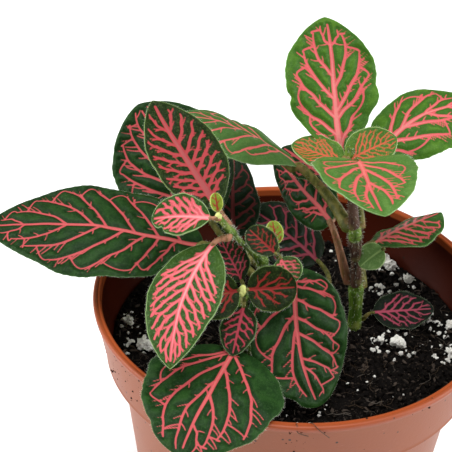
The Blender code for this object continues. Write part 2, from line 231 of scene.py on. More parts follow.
def sized(spot, turn, size):
    """The matrix that scales a unit shape, turns it and puts it at a spot."""
    return Matrix.LocRotScale(spot, turn, Vector((1, 1, 1)) * size)


def smooth_route(points, steps):
    """A smooth curve through the points, with some steps between each two."""
    ends = [2 * points[0] - points[1], *points, 2 * points[-1] - points[-2]]
    found = []
    for before, start, end, after in zip(ends, ends[1:], ends[2:], ends[3:]):
        for count in range(steps):
            share = count / steps
            pull = (end - before) * 0.5
            push = (after - start) * 0.5
            found.append(
                start * (2 * share**3 - 3 * share**2 + 1) + pull * (share**3 - 2 * share**2 + share)
                + end * (3 * share**2 - 2 * share**3) + push * (share**3 - share**2)
            )
    return [*found, points[-1]]


def tube(shape, route, radii, sides=10, material=0):
    """Extrudes a ring along a route and closes both ends; adds it to the bmesh."""
    heading = (route[1] - route[0]).normalized()
    turn = UP.rotation_difference(heading)
    stand = sized(route[0], turn, radii[0])
    ring = bmesh.ops.create_circle(shape, segments=sides, radius=1, matrix=stand)["verts"]
    edges = list({edge for vert in ring for edge in vert.link_edges})
    first_edges, made = edges, set(ring)
    for index in range(1, len(route)):
        ahead = route[min(index + 1, len(route) - 1)] - route[index - 1]
        turn = heading.rotation_difference(ahead.normalized()) @ turn
        heading = ahead.normalized()
        place = sized(route[index], turn, radii[index])
        grown = bmesh.ops.extrude_edge_only(shape, edges=edges)["geom"]
        ring = [item for item in grown if isinstance(item, bmesh.types.BMVert)]
        lines = [item for item in grown if isinstance(item, bmesh.types.BMEdge)]
        edges = [line for line in lines if line.is_boundary]
        bmesh.ops.transform(shape, matrix=place @ stand.inverted(), verts=ring)
        made.update(ring)
        stand = place
    bmesh.ops.holes_fill(shape, edges=first_edges + edges, sides=0)
    faces = list({face for vert in made for face in vert.link_faces})
    bmesh.ops.recalc_face_normals(shape, faces=faces)
    for face in faces:
        face.material_index = material


def stamp(shape, template, matrices):
    """Adds a copy of a small template mesh at each matrix."""
    count = len(template.vertices)
    base = np.empty(count * 3)
    template.vertices.foreach_get("co", base)
    base = np.c_[base.reshape(-1, 3), np.ones(count)]
    copy = template.copy()
    for matrix in matrices:
        copy.vertices.foreach_set("co", (base @ np.array(matrix).T)[:, :3].ravel())
        shape.from_mesh(copy)
    bpy.data.meshes.remove(copy)


def lumpy(subdivisions, roughness, seed, flat=0.8):
    """An irregular stone or crumb of unit radius, as a mesh to stamp."""
    shape = bmesh.new()
    bmesh.ops.create_icosphere(shape, subdivisions=subdivisions, radius=1)
    shift = Vector((seed * 3.1, seed * 1.7, seed * 2.3))
    for vert in shape.verts:
        wide = noise.noise(vert.co * 1.3 + shift)
        fine = noise.noise(vert.co * 3.7 + shift)
        vert.co *= 1 + roughness * (1.4 * wide + 0.7 * fine)
        vert.co.z *= flat
    return as_mesh("lump", shape)


# %% [markdown]
# ## Pot
# A thin nursery pot is blown or moulded in one go: a rolled lip, a collar that leans in, a step,
# and a wall that tapers to the floor. It is a turned shape, so its profile is drawn once and spun
# about Z. The profile repeats the CAD's sizes, with a groove in the lip and a small bead at the
# collar's foot that the plain CAD pot doesn't have. The drain holes are cut with a Boolean.

# %% Pot: profile
RIM = 52.5
POT_TOP = 88.0
COLLAR_FOOT = 70.3
POT_WALL = 1.4
WALL_RADIUS = 45.4
WALL_TAPER = 0.13
BASE_ROUND = 2.5


def pot_arc(centre, radius, start, end, steps=6):
    """Points on an arc of the profile, with angles in degrees."""
    angles = [math.radians(start + (end - start) * count / steps) for count in range(steps + 1)]
    return [
        (centre[0] + radius * math.cos(angle), centre[1] + radius * math.sin(angle))
        for angle in angles
    ]


def wall_line(height):
    """Outer radius of the lower wall."""
    return WALL_RADIUS - WALL_TAPER * (COLLAR_FOOT - height)


corner = wall_line(BASE_ROUND) - BASE_ROUND
outer_side = [
    *pot_arc((RIM - 0.7, POT_TOP - 0.7), 0.7, 80, -20),
    (RIM - 0.15, POT_TOP - 1.5), (RIM - 0.65, POT_TOP - 1.9), (RIM - 0.75, POT_TOP - 2.6),
    (49.1, COLLAR_FOOT + 1.6), *pot_arc((48.6, COLLAR_FOOT + 0.6), 0.55, 30, -90, 5),
    (47.4, COLLAR_FOOT + 0.05), (46.2, COLLAR_FOOT), (45.6, COLLAR_FOOT - 0.25),
    (45.4, COLLAR_FOOT - 0.8), (wall_line(35), 35),
    *pot_arc((corner, BASE_ROUND), BASE_ROUND, 0, -90),
    (corner - 6, 0), (corner - 7, 0.5), (10, 0.5), (9, 0), (0, 0),
]
inner_side = [
    (0, POT_WALL), *pot_arc((corner, BASE_ROUND), BASE_ROUND - POT_WALL, -90, 0, 4),
    (wall_line(35) - POT_WALL, 35), (WALL_RADIUS - POT_WALL, COLLAR_FOOT),
    (47.2, COLLAR_FOOT + POT_WALL), (50.1, POT_TOP - 2.4), (50.3, POT_TOP - 0.7),
    *pot_arc((50.8, POT_TOP - 0.55), 0.5, 180, 80, 4), (51.05, POT_TOP - 0.14),
    (51.25, POT_TOP - 0.28), (51.5, POT_TOP - 0.1),
]
pot_profile = outer_side + inner_side

# %% [markdown]
# ### Spinning and drilling
# Moving a profile round an axis is what a lathe does, and bmesh has it as one operator. Drain holes
# can't be spun, so a Boolean takes six short cylinders out of the floor. Its result is read back
# from the evaluated object, which leaves the finished pot with no modifier on it.

# %% Pot: spin and drill
DRAINS = 6
DRAIN_CIRCLE = 27.0
DRAIN_RADIUS = 3.5
DRILL_LENGTH = 6


def spun(profile, steps, closed):
    """Spins a profile of (radius, height) in mm about Z into a bmesh."""
    shape = bmesh.new()
    verts = [shape.verts.new((radius * MM, 0, height * MM)) for radius, height in profile]
    loop = verts + verts[:1] if closed else verts
    edges = [shape.edges.new(pair) for pair in zip(loop, loop[1:])]
    bmesh.ops.spin(
        shape, geom=verts + edges, cent=(0, 0, 0), axis=(0, 0, 1), angle=2 * math.pi,
        steps=steps, use_merge=True,
    )
    bmesh.ops.remove_doubles(shape, verts=shape.verts, dist=0.01 * MM)
    bmesh.ops.recalc_face_normals(shape, faces=shape.faces)
    return shape


def modified(blank):
    """A bmesh of an object as its modifiers leave it; the object is removed."""
    result = bmesh.new()
    result.from_object(blank, bpy.context.evaluated_depsgraph_get())
    bpy.data.objects.remove(blank, do_unlink=True)
    return result


def drilled(shape):
    """The pot's bmesh with its drain holes cut out by a Boolean."""
    drills = bmesh.new()
    for count in range(DRAINS):
        angle = 2 * math.pi * count / DRAINS
        spot = Vector((math.cos(angle), math.sin(angle), 0)) * DRAIN_CIRCLE * MM
        bmesh.ops.create_cone(
            drills, cap_ends=True, segments=32, radius1=DRAIN_RADIUS * MM,
            radius2=DRAIN_RADIUS * MM, depth=DRILL_LENGTH * MM, matrix=Matrix.Translation(spot),
        )
    blank = as_object("pot_blank", as_mesh("pot_blank", shape))
    cutter = as_object("drain_drills", as_mesh("drain_drills", drills))
    cut = blank.modifiers.new("drains", "BOOLEAN")
    cut.operation = "DIFFERENCE"
    cut.object = cutter
    result = modified(blank)
    bpy.data.objects.remove(cutter, do_unlink=True)
    return result


# %% [markdown]
# ### Pot plastic
# Recycled terracotta-coloured plastic is satin, with a faint cloudiness, fine rings from the
# mould, pale scuffs, and dark crumbs of peat stuck to it. Scuffs and dirt are masks from noise,
# so they are shared as a group, and the lip keeps the stronger orange of fresh plastic.

# %% Pot plastic
COLLAR_LEAN = 0.207  # how much the collar's radius grows with height
WALL_MIDDLE = 33.3  # radius of the middle of the collar's wall, carried down to the floor
CRUMB_SCALE = 620.0
CRUMB_AMOUNT = 0.07


def make_grime_group():
    """Masks for stuck crumbs, fine scuffs and cloudiness, on Object coordinates."""
    tree, given, out = start_group(
        "grime", [("Crumb Scale", "F"), ("Crumb Amount", "F")],
        [("Crumbs", "F"), ("Scuffs", "F"), ("Clouds", "F")],
    )
    place = add(tree, "TexCoord").outputs["Object"]
    cells = add(tree, "TexVoronoi", {"Vector": place, "Scale": given.outputs["Crumb Scale"]})
    chosen = add(tree, "SeparateColor", {"Color": cells.outputs["Color"]}).outputs["Red"]
    rare = add(
        tree, "Math", {0: chosen, 1: given.outputs["Crumb Amount"]}, operation="LESS_THAN"
    ).outputs[0]
    dot = step(tree, cells.outputs["Distance"], 0.26, 0.16)
    stretched = add(
        tree, "Mapping", {"Vector": place, "Scale": (1.0, 1.0, 9.0), "Rotation": (0.5, 0.3, 0)}
    ).outputs["Vector"]
    scuffs = step(tree, speckles(tree, stretched, 160.0, 4.0, 0.7), 0.66, 0.74)
    tree.links.new(product(tree, rare, dot), out.inputs["Crumbs"])
    tree.links.new(scuffs, out.inputs["Scuffs"])
    tree.links.new(cloud(tree, 45.0), out.inputs["Clouds"])
    return tree


def make_pot_plastic(grime):
    """Satin terracotta plastic, orange on the lip, darkened inside by painted shade, and matt
    there.
    """
    material, tree, shader = start_material("pot_plastic", roughness=0.42)
    masks = tree.nodes.new("ShaderNodeGroup")
    masks.node_tree = grime
    masks.inputs["Crumb Scale"].default_value = CRUMB_SCALE
    masks.inputs["Crumb Amount"].default_value = CRUMB_AMOUNT
    place = add(tree, "TexCoord").outputs["Object"]
    height = add(tree, "SeparateXYZ", {"Vector": place}).outputs["Z"]
    body = blend(tree, masks.outputs["Clouds"], tint(128, 66, 38), tint(144, 80, 48))
    body = blend(tree, masks.outputs["Scuffs"], body, tint(168, 104, 80))
    flat = add(tree, "VectorMath", {0: place, 1: (1, 1, 0)}, operation="MULTIPLY").outputs[0]
    reach = add(tree, "VectorMath", {0: flat}, operation="LENGTH").outputs["Value"]
    upright = add(
        tree, "Math", {0: height, 1: -COLLAR_LEAN, 2: reach}, operation="MULTIPLY_ADD"
    ).outputs[0]
    # Painted shade: the inner wall above the collar's foot is darkened to deep brown, and its
    # specular is turned down.
    within = step(tree, upright, (WALL_MIDDLE + 0.15) * MM, (WALL_MIDDLE - 0.15) * MM)
    above = step(tree, height, (COLLAR_FOOT + 0.6) * MM, (COLLAR_FOOT + 0.9) * MM)
    inside = product(tree, within, above)
    body = blend(tree, inside, body, tint(58, 18, 7))
    tree.links.new(spread(tree, inside, 0.34, 0.04), shader.inputs["Specular IOR Level"])
    lip = step(tree, height, (POT_TOP - 2.3) * MM, (POT_TOP - 1.6) * MM)
    body = blend(tree, lip, body, tint(144, 68, 34))
    body = blend(tree, masks.outputs["Crumbs"], body, tint(40, 24, 18))
    tree.links.new(body, shader.inputs["Base Color"])
    worn = spread(tree, masks.outputs["Clouds"], 0.36, 0.52)
    tree.links.new(worn, shader.inputs["Roughness"])
    raise_surface(tree, shader, cloud(tree, 1300.0, 4.0, 0.6), 0.12 * MM, 0.35)
    return material


pot_plastic = make_pot_plastic(make_grime_group())
piece("nursery_pot", drilled(spun(pot_profile, 180, True)), [pot_plastic], ["pot"])

# %% [markdown]
# ## Peat
# The filling is black, damp and crumbly. A flat disc with a bump texture would show as flat at
# the low view, so the crumbs are real: a noisy turned surface, a few thousand small lumps, and
# golden fibres and pale root hairs lying over them. Lumps and fibres are small templates that
# are stamped many times, so each has only a few faces.

# %% Peat surface
PEAT_EDGE = 73.0
PEAT_HEAP = 1.2
PEAT_RADIUS = 47.3


def peat_level(radius):
    """Height of the peat in mm at a distance from the axis in mm."""
    return PEAT_EDGE + PEAT_HEAP * (1 - min(radius / PEAT_RADIUS, 1) ** 2)


def make_peat_look():
    """Near-black damp peat with brown crumbs."""
    material, tree, shader = start_material("peat", roughness=0.8, specular=0.06)
    dark = blend(tree, cloud(tree, 700.0, 5.0, 0.7), tint(1, 1, 1), tint(26, 22, 20))
    warm = step(tree, cloud(tree, 1900.0, 2.0), 0.6, 0.72)
    tree.links.new(blend(tree, warm, dark, tint(62, 52, 43)), shader.inputs["Base Color"])
    raise_surface(tree, shader, cloud(tree, 2600.0, 4.0, 0.7), 0.3 * MM, 0.8)
    return material


def make_peat():
    """The peat body: a turned profile whose top is heaved into clods."""
    rings = 95
    top = [
        (PEAT_RADIUS * count / rings, peat_level(PEAT_RADIUS * count / rings))
        for count in range(rings + 1)
    ]
    down = [(47.0, 72.4), (43.6, 70.3), (39.0, 36), (35.6, 3.6), (33.8, 1.8), (0, 1.8)]
    shape = spun(top + down, 300, False)
    for vert in shape.verts:
        reach = math.hypot(vert.co.x, vert.co.y) / MM
        if vert.co.z / MM < PEAT_EDGE - 0.4 or reach > PEAT_RADIUS - 0.2:
            continue
        spot = vert.co / MM
        heave = 1.1 * noise.noise(spot * 0.11) + 0.9 * noise.noise(spot * 0.42)
        heave += 0.75 * abs(noise.noise(spot * 1.1)) + 0.35 * noise.noise(spot * 2.3)
        vert.co.z += (heave - 0.2) * MM * min((PEAT_RADIUS - reach) / 2, 1)
    return shape


peat = make_peat_look()
piece("peat_filling", make_peat(), [peat], ["soil"])

# %% [markdown]
# ### Crumbs
# Peat is a heap of crumbs of all sizes, most of them small. Cubing a random number gives just that:
# many small crumbs and a few big ones. One random source, started with a fixed seed, serves all
# the loose matter, so that the heap is the same each time.

# %% Peat crumbs
CRUMBS = 8000
chance = random.Random(7)


def peat_spot(rng, edge=46.5):
    """A random place on the peat, in mm."""
    reach = edge * math.sqrt(rng.random())
    angle = rng.uniform(0, 2 * math.pi)
    return Vector((reach * math.cos(angle), reach * math.sin(angle), peat_level(reach)))


def tumbled(rng, spot, size):
    """A matrix that puts a unit shape at a spot in mm, turned at random."""
    heading = Matrix.Rotation(rng.uniform(0, 6.28), 4, "Z")
    turn = heading @ Matrix.Rotation(rng.uniform(0, 3.1), 4, "X")
    return Matrix.Translation(spot * MM) @ turn @ Matrix.Scale(size * MM, 4)


def scattered(shape, templates, total, place):
    """Stamps each template at its share of the total number of places."""
    for template in templates:
        stamp(shape, template, [place() for _ in range(total // len(templates))])
    return shape


def crumb_place():
    """Where one crumb lies, and its size."""
    size = 0.2 + 0.9 * chance.random() ** 3
    spot = peat_spot(chance)
    spot.z += chance.uniform(-0.2, 0.6) + 0.2 * size
    return tumbled(chance, spot, size)


crumb_kinds = [lumpy(1, 0.55, seed) for seed in (1, 2, 3, 4)]
crumbs = scattered(bmesh.new(), crumb_kinds, CRUMBS, crumb_place)
piece("peat_crumbs", crumbs, [peat], smooth=False)

# %% [markdown]
# ### A plain look
# Chips, fibres, perlite and hairs all need the same thing: two close colours mixed by noise, and
# for the rough ones a bump. One function makes a material for each.

# %% Plain look
def make_plain_look(name, low, high, scale, roughness, bump=0.0):
    """Two close colours mixed by noise, for chips, fibres, grains and hairs."""
    material, tree, shader = start_material(name, roughness=roughness)
    colour = blend(tree, cloud(tree, scale, 4.0, 0.65), low, high)
    tree.links.new(colour, shader.inputs["Base Color"])
    if bump:
        raise_surface(tree, shader, cloud(tree, scale * 2, 5.0, 0.75), bump, 0.9)
    return material


# %% [markdown]
# ### Chips, and peat stuck to the pot
# Paler, flattened chips lie on the dark crumbs and keep the peat from looking like soot. When a
# pot is filled, some peat always sticks to the collar and the lip, so a few crumbs are put there.

# %% Peat chips and stuck peat
CHIPS = 1500


def chip_place():
    """Where one chip lies, its size and how it is flattened."""
    spot = peat_spot(chance)
    spot.z += chance.uniform(0.2, 0.9)
    stretch = Matrix.Diagonal((chance.uniform(1, 2.6), 1, chance.uniform(0.4, 0.9), 1))
    return tumbled(chance, spot, 0.14 + 0.5 * chance.random() ** 2) @ stretch


chip_look = make_plain_look("peat_chip", tint(20, 15, 12), tint(78, 64, 52), 500.0, 0.9, 0.2 * MM)
chip_kinds = [lumpy(1, 0.6, seed) for seed in (11, 12, 13)]
chips = scattered(bmesh.new(), chip_kinds, CHIPS, chip_place)
piece("peat_chips", chips, [chip_look], smooth=False)

# First angle, last angle and number of the crumbs that stick to the pot.
STUCK_PATCHES = ((-168, -128, 80), (-90, -84, 20), (-150, -30, 40), (0, 360, 60))
FACE_FOOT = 71.9  # height at which the collar's outer face begins
FACE_RADIUS = 49.05  # its radius there
FACE_LEAN = 0.1963  # how much that radius grows with height
LIP_REACH = 52.4
places = []
for first, last, count in STUCK_PATCHES:
    for _ in range(count):
        angle = math.radians(chance.uniform(first, last))
        on_collar, on_lip = chance.uniform(72.5, 84.5), chance.gauss(86.2, 0.5)
        height = chance.choice((on_collar, on_lip))
        reach = min(FACE_RADIUS + (height - FACE_FOOT) * FACE_LEAN, LIP_REACH)
        spot = Vector((reach * math.cos(angle), reach * math.sin(angle), height))
        places.append(tumbled(chance, spot, 0.09 + 0.26 * chance.random() ** 3))
stuck = bmesh.new()
stamp(stuck, lumpy(1, 0.5, 31, 1.0), places)
piece("stuck_peat", stuck, [peat], smooth=False)

# %% [markdown]
# ### Fibres and roots
# A fibre is a triangular tube along a short random walk: thin enough that nobody sees its three
# sides. A few patterns are stamped many times, turned and scaled. Three longer roots hang over
# the lip, and they get routes of their own.

# %% Fibres and roots
FIBRES = 420
FIBRE_RADIUS = 0.011  # as a share of its length
FIBRE_BEND = 0.8
RIM_ROOTS = (
    ((3, -44, 75.5), (5, -47.6, 84), (6.5, -50.6, 88.3), (8.5, -52.0, 87.4), (11, -51.4, 84.8)),
    ((-1, -44.5, 75.5), (1, -48.4, 83), (3, -51.2, 88.2), (3.4, -52.4, 86.6), (6, -51.9, 85.2)),
    ((30, -33, 75), (33, -36, 80.5), (36, -37, 86.5), (35, -38, 88.3)),
)


def curl(seed, bend):
    """A thin bent fibre of unit length, as a mesh."""
    rng = random.Random(seed)
    points = [Vector((0, 0, 0))]
    angle = 0.0
    for _ in range(5):
        angle += rng.uniform(-bend, bend)
        run = Vector((math.cos(angle), math.sin(angle), rng.uniform(-0.15, 0.2)))
        points.append(points[-1] + run / 5)
    shape = bmesh.new()
    tube(shape, smooth_route(points, 2), [FIBRE_RADIUS] * 11, sides=3)
    return as_mesh("fibre", shape)


fibre_looks = (
    make_plain_look("peat_fibre", tint(34, 25, 17), tint(84, 62, 38), 90.0, 0.8),
    make_plain_look("root_hair", tint(52, 46, 40), tint(120, 110, 98), 90.0, 0.7),
)
rim_roots = bmesh.new()
for points in RIM_ROOTS:
    route = smooth_route([Vector(point) * MM for point in points], 8)
    tube(rim_roots, route, [0.1 * MM] * len(route), sides=5)
piece("rim_roots", rim_roots, [fibre_looks[0]])


def fibre_place():
    """Where one fibre lies, and its length."""
    spot = peat_spot(chance, 44)
    spot.z += chance.uniform(0.5, 1.3)
    turn = Matrix.Rotation(chance.uniform(0, 6.28), 4, "Z")
    tip = Matrix.Rotation(chance.uniform(-0.12, 0.2), 4, "Y")
    size = Matrix.Scale(chance.uniform(2, 7) * MM, 4)
    return Matrix.Translation(spot * MM) @ turn @ tip @ size


fibre_kinds = [curl(seed, FIBRE_BEND) for seed in (3, 4, 5, 6)]
for look, name, share in zip(fibre_looks, ("peat_fibres", "root_hairs"), (0.6, 0.4)):
    strands = scattered(bmesh.new(), fibre_kinds, int(FIBRES * share), fibre_place)
    piece(name, strands, [look])

# %% [markdown]
# ## Perlite
# Perlite is white, popped volcanic glass: rough angular grains, in clusters where they were
# mixed in. The ten large grains stand where the CAD has them, a little sunk, and each is a middle
# lump with three smaller ones grown on to it. Around them lie smaller crumbs, stamped.

# %% Perlite grains and crumbs
GRAINS = (
    (25.0, 36.8, 3.0), (32.0, 29.5, 2.0), (24.0, 24.0, 1.4), (43.5, 9.5, 2.2), (37.0, 11.0, 1.5),
    (28.5, -1.0, 2.6), (24.0, -0.5, 1.6), (43.0, -3.0, 2.0), (-44.0, 0.5, 1.8), (-38.5, -9.5, 2.6),
)
SPECKS_EACH = 3  # round each grain, of each of four kinds
LOOSE_SPECKS = 150

perlite = make_plain_look(
    "perlite", tint(226, 223, 212), tint(253, 252, 247), 900.0, 0.85, 0.4 * MM
)


def make_grain(number, spot, radius):
    """One big grain: a middle lump with three smaller ones grown on to it."""
    rng = random.Random(number)
    shape = bmesh.new()
    for count in range(4):
        size = radius * (0.62 if count == 0 else rng.uniform(0.28, 0.46))
        x, y, z = rng.uniform(-0.75, 0.75), rng.uniform(-0.75, 0.75), rng.uniform(-0.1, 0.3)
        shift = Vector((x, y, z)) * (0 if count == 0 else radius)
        place = tumbled(rng, spot + shift, size)
        stamp(shape, lumpy(3, 0.62, number * 5 + count, 0.85), [place])
    return shape


for number, (x, y, radius) in enumerate(GRAINS, 1):
    place = Vector((x, y, peat_level(math.hypot(x, y)) + 0.55 * radius + 0.2))
    piece(f"perlite_grain_{number:02d}", make_grain(number, place, radius), [perlite],
          [f"perlite_{number:02d}"], smooth=False)

specks = bmesh.new()
for kind in range(4):
    places = []
    for x, y, radius in GRAINS:
        for _ in range(SPECKS_EACH):
            angle = chance.uniform(0, 2 * math.pi)
            reach = radius * chance.uniform(1.0, 2.6)
            spot = Vector((x + reach * math.cos(angle), y + reach * math.sin(angle), 0))
            spot.z = peat_level(spot.length) + 0.6
            if spot.xy.length < 46:
                places.append(tumbled(chance, spot, chance.uniform(0.25, 0.8)))
    for _ in range(LOOSE_SPECKS // 4):
        spot = peat_spot(chance, 45)
        spot.z += chance.uniform(0.3, 0.9)
        places.append(tumbled(chance, spot, 0.16 + 0.6 * chance.random() ** 3))
    stamp(specks, lumpy(1, 0.6, kind + 20), places)
piece("perlite_specks", specks, [perlite], smooth=False)

# %% [markdown]
# ## Stems
# Each shoot is a chain of lengths between knots. The young growth is pale green and the old
# lengths of the tall shoot are brown and ribbed. A length is a tube that swells at its knots, so
# that neighbours meet with no gap. Fine white hairs stand off it all round: here only their roots
# and directions are noted, and the hairs are made later, all at once.

# %% Stem material
def make_stem_look(name, *colours):
    """Ribbed stem skin in two mixed colours, with blotches of a third."""
    low, high, blush = [tint(*colour) for colour in colours]
    material, tree, shader = start_material(name, roughness=0.5, specular=0.2)
    place = add(tree, "TexCoord").outputs["Object"]
    stretched = add(tree, "Mapping", {"Vector": place, "Scale": (1.0, 1.0, 0.16)}).outputs[0]
    streaks = speckles(tree, stretched, 900.0)
    skin = blend(tree, step(tree, streaks, 0.35, 0.65), low, high)
    skin = blend(tree, step(tree, cloud(tree, 260.0), 0.55, 0.75), skin, blush)
    tree.links.new(skin, shader.inputs["Base Color"])
    raise_surface(tree, shader, streaks, 0.2 * MM, 0.6)
    return material


stem_looks = {
    "stem_green": make_stem_look("stem_green", (54, 82, 18), (98, 126, 42), (126, 138, 66)),
    "stem_brown": make_stem_look("stem_brown", (44, 27, 22), (86, 62, 50), (96, 86, 52)),
}

# %% [markdown]
# ### Lengths of stem
# Each length is a few points and as many radii, in mm, and a smooth curve runs through them. The
# points repeat the CAD's knots. A little noise on the radius keeps a length from looking turned.

# %% Stem lengths
STEMS = {
    "stem_tall_lower": (((17, 6, 73.4), (16.9, 5.9, 80), (16.4, 5.5, 87.4)), (2.0, 1.7, 2.1)),
    "stem_tall_middle": (((16.4, 5.5, 87), (15.6, 4.2, 97), (14.6, 3, 106.4)), (1.7, 1.3, 1.9)),
    "stem_tall_upper": (((14.6, 3, 106), (13.2, 2.6, 116), (11.3, 3, 126.2)), (1.6, 1.2, 1.5)),
    "stem_tall_tip": (((11.3, 3, 125.8), (11.1, 3, 127), (10.9, 3, 128.2)), (1.3, 1.0, 0.5)),
    "stem_left_lower": (((-3, 5, 73.4), (-4.6, 4.4, 80), (-7, 2, 88.4)), (1.9, 1.5, 1.9)),
    "stem_left_middle": (((-7, 2, 88), (-8, -2.4, 95.6), (-8.6, -6.5, 102.3)), (1.5, 1.2, 1.7)),
    "stem_left_upper": (((-8.6, -6.5, 102), (-12.3, -10.6, 109), (-14.6, -15.2, 114.6),
                         (-15.8, -20, 119.5)), (1.0, 0.7, 0.65, 1.0)),
    "stem_left_tip": (((-15.8, -20, 119.3), (-17.4, -20.7, 122), (-18.6, -21.2, 124)),
                      (1.1, 0.85, 0.8)),
    "stem_middle_lower": (((-10, -8, 73.6), (-11.4, -13.6, 81), (-12, -18, 91.2)), (1.7, 1.3, 1.7)),
    "stem_middle_upper": (((-12, -18, 91), (-12.3, -17.6, 95), (-12.3, -18.4, 100.3)),
                          (1.3, 1.1, 1.4)),
    "stem_middle_tip": (((-12.3, -18.4, 100), (-12.3, -20, 101.8), (-12.3, -21.6, 103.6)),
                        (1.1, 0.9, 0.8)),
    "stem_inner_lower": (((1, -2, 73.6), (1.4, -4, 78), (1, -6, 84.3)), (1.7, 1.3, 1.6)),
    "stem_inner_middle": (((1, -6, 84), (0.4, -7.4, 92), (-1, -10, 100.3)), (1.4, 1.1, 1.5)),
    "stem_inner_tip": (((-1, -10, 100), (-3, -11.4, 105.6), (-4.7, -12.8, 109)), (1.2, 0.8, 0.7)),
}
STEM_STEPS = 9
hair_roots = []
stem_points = []


def grow_hairs(route, radii, per_mm, length, rng):
    """Notes places where hairs stand off a round stem: root, direction and length."""
    for start, end, radius in zip(route, route[1:], radii):
        run = end - start
        heading = run.normalized()
        across = run.cross(UP if abs(heading.z) < 0.9 else Vector((1, 0, 0))).normalized()
        for _ in range(max(1, round(run.length / MM * per_mm))):
            side = Matrix.Rotation(rng.uniform(0, 2 * math.pi), 3, run) @ across
            lean = (side + heading * rng.uniform(-0.3, 0.3)).normalized()
            root = start + run * rng.random() + side * radius * 0.9
            hair_roots.append((root, lean, length * rng.uniform(0.6, 1.2) * MM))


def swelling(points, radii, steps):
    """The smooth route through points in mm, shares along it, and the radius at each in mm."""
    route = smooth_route([Vector(point) * MM for point in points], steps)
    shares = np.linspace(0, len(radii) - 1, len(route))
    return route, shares, np.interp(shares, range(len(radii)), radii)


for name, (points, radii) in STEMS.items():
    rng = random.Random(len(name) + round(points[0][0] * 7))
    route, shares, widths = swelling(points, radii, STEM_STEPS)
    stem_points += route
    swell = [
        width * (1 + 0.03 * noise.noise(Vector((share * 5, 0, len(name))))) * MM
        for share, width in zip(shares, widths)
    ]
    shape = bmesh.new()
    tube(shape, route, swell, sides=16)
    piece(f"{name}_skin", shape, [stem_looks[slots[name]]], [name])
    grow_hairs(route, swell, 11 if "tall" in name else 7, 0.85, rng)

# %% [markdown]
# ### Knots
# Leaves and side shoots leave a stem at its knots, which are swollen and always green. They are
# short fat tubes over the joints between two lengths, with rounded ends.

# %% Knots
KNOTS = (
    (((16.7, 5.7, 83.6), (16.5, 5.6, 86.6), (16.2, 5.2, 90.2)), (1.8, 2.05, 1.5)),
    (((14.95, 3.5, 102.6), (14.65, 3.0, 105.8), (14.2, 2.9, 109.4)), (1.35, 1.9, 1.4)),
    (((-15.3, -17.6, 117.4), (-15.9, -19.8, 119.6), (-17.0, -20.6, 121.3)), (0.8, 1.15, 0.8)),
    (((-8.3, -4.2, 98.6), (-8.7, -6.5, 102.2), (-10.2, -8.0, 104.8)), (1.2, 1.55, 0.95)),
    (((10.9, 4.6, 127.4), (11.2, 4.5, 129.0), (11.2, 4.7, 131.2)), (1.2, 1.4, 0.8)),
)
ROUNDING = (0.5, 0.85)  # shares of the radius on the last two rings at each end

knots = bmesh.new()
for points, radii in KNOTS:
    route, _, widths = swelling(points, radii, 10)
    bulge = [float(width) * MM for width in widths]
    for index, share in enumerate(ROUNDING):
        bulge[index] *= share
        bulge[-1 - index] *= share
    tube(knots, route, bulge, sides=16)
    grow_hairs(route, bulge, 12, 0.9, random.Random(len(hair_roots)))
piece("stem_knots", knots, [stem_looks["stem_green"]])
print("hairs on stems:", len(hair_roots))

# %% [markdown]
# ## Leaves: one description for each
# A leaf's place and sweep repeat the CAD leaf that it stands for, in millimetres and degrees.
# What is added here is what makes the plant a nerve plant: the veins. Each leaf lists its side
# veins by where they leave the midrib and where they end, both as shares of the blade. They are
# listed one by one for the large leaves, because their pattern is what one recognises, and a rule
# spaces them evenly on the small ones.

# %% Leaf description
@dataclass
class Veining:
    """Full widths of the veins in mm, the twigs on them, and how much the blade puffs up.

    spacing and twig_length are for the branches of a side vein, thorn is the length of the short
    spurs near the midrib, arch is how much a side vein bows, loop is the width of the arcs that
    tie the ends of the side veins together, and reach scales how far out the side veins go.
    """

    midrib: float
    lateral: float
    twig: float
    spacing: float
    twig_length: float
    puff: float
    thorn: float = 0
    arch: float = 0.1
    loop: float = 0
    reach: float = 1


VEINING = {
    "arching": Veining(1.3, 0.66, 0.32, 2.3, 3.8, 0.5, thorn=2.0, loop=0.34, reach=0.95),
    "netted": Veining(1.9, 0.94, 0.36, 1.25, 3.3, 0.42, thorn=1.9, loop=0.46, reach=0.86),
    "open": Veining(1.5, 0.85, 0.36, 2.0, 2.6, 0.42, thorn=1.8, arch=0.04, loop=0.4, reach=0.92),
    "crowded": Veining(2.3, 0.8, 0.5, 2.0, 2.7, 0.26, arch=0.02),
    "dense": Veining(1.5, 0.74, 0.46, 2.3, 2.7, 0.26, arch=0.02),
    "fine": Veining(0.55, 0.3, 0.17, 1.6, 1.5, 0.14, arch=0.02),
    "small": Veining(0.8, 0.45, 0.24, 1.9, 2.0, 0.18, arch=0.05),
}


@dataclass
class Leaf:
    """One leaf: its place and sweep as in the CAD, and its veins.

    left and right hold side veins as (start, end, reach): shares of the length where a vein
    leaves the midrib and where it ends, and the share of the half width that it reaches.
    count spaces them evenly instead. spine shifts the midrib at base, middle and tip, as a share
    of the half width, and wave is the margin's ripple in mm. notches are (place, side, depth in
    mm, width) bites in the outline.
    """

    name: str
    root: tuple
    base: tuple
    heading: float
    pitch: float
    length: float
    width: float
    droop: float = 0
    sway: float = 0
    roll: float = 0
    twist: float = 0
    fold: float = 4
    bow: float = 0
    widest: float = 0.45
    base_round: float = 0.6
    tip_round: float = 0.7
    stalk_bend: float = 0.5
    skin: str = "old"
    veins: str = "arching"
    left: tuple = ()
    right: tuple = ()
    count: int = 5
    spread: float = 0.26
    spine: tuple = (0, 0, 0)
    wave: float = 0.5
    notches: tuple = ()
    stalk: float = 0.75


# %% [markdown]
# ### Leaves of the tall shoot
# Leaves of this plant come in pairs, each pair turned a quarter against the one below. The top of
# the tall shoot has three large young leaves with thick, netted veins round a tiny pair.

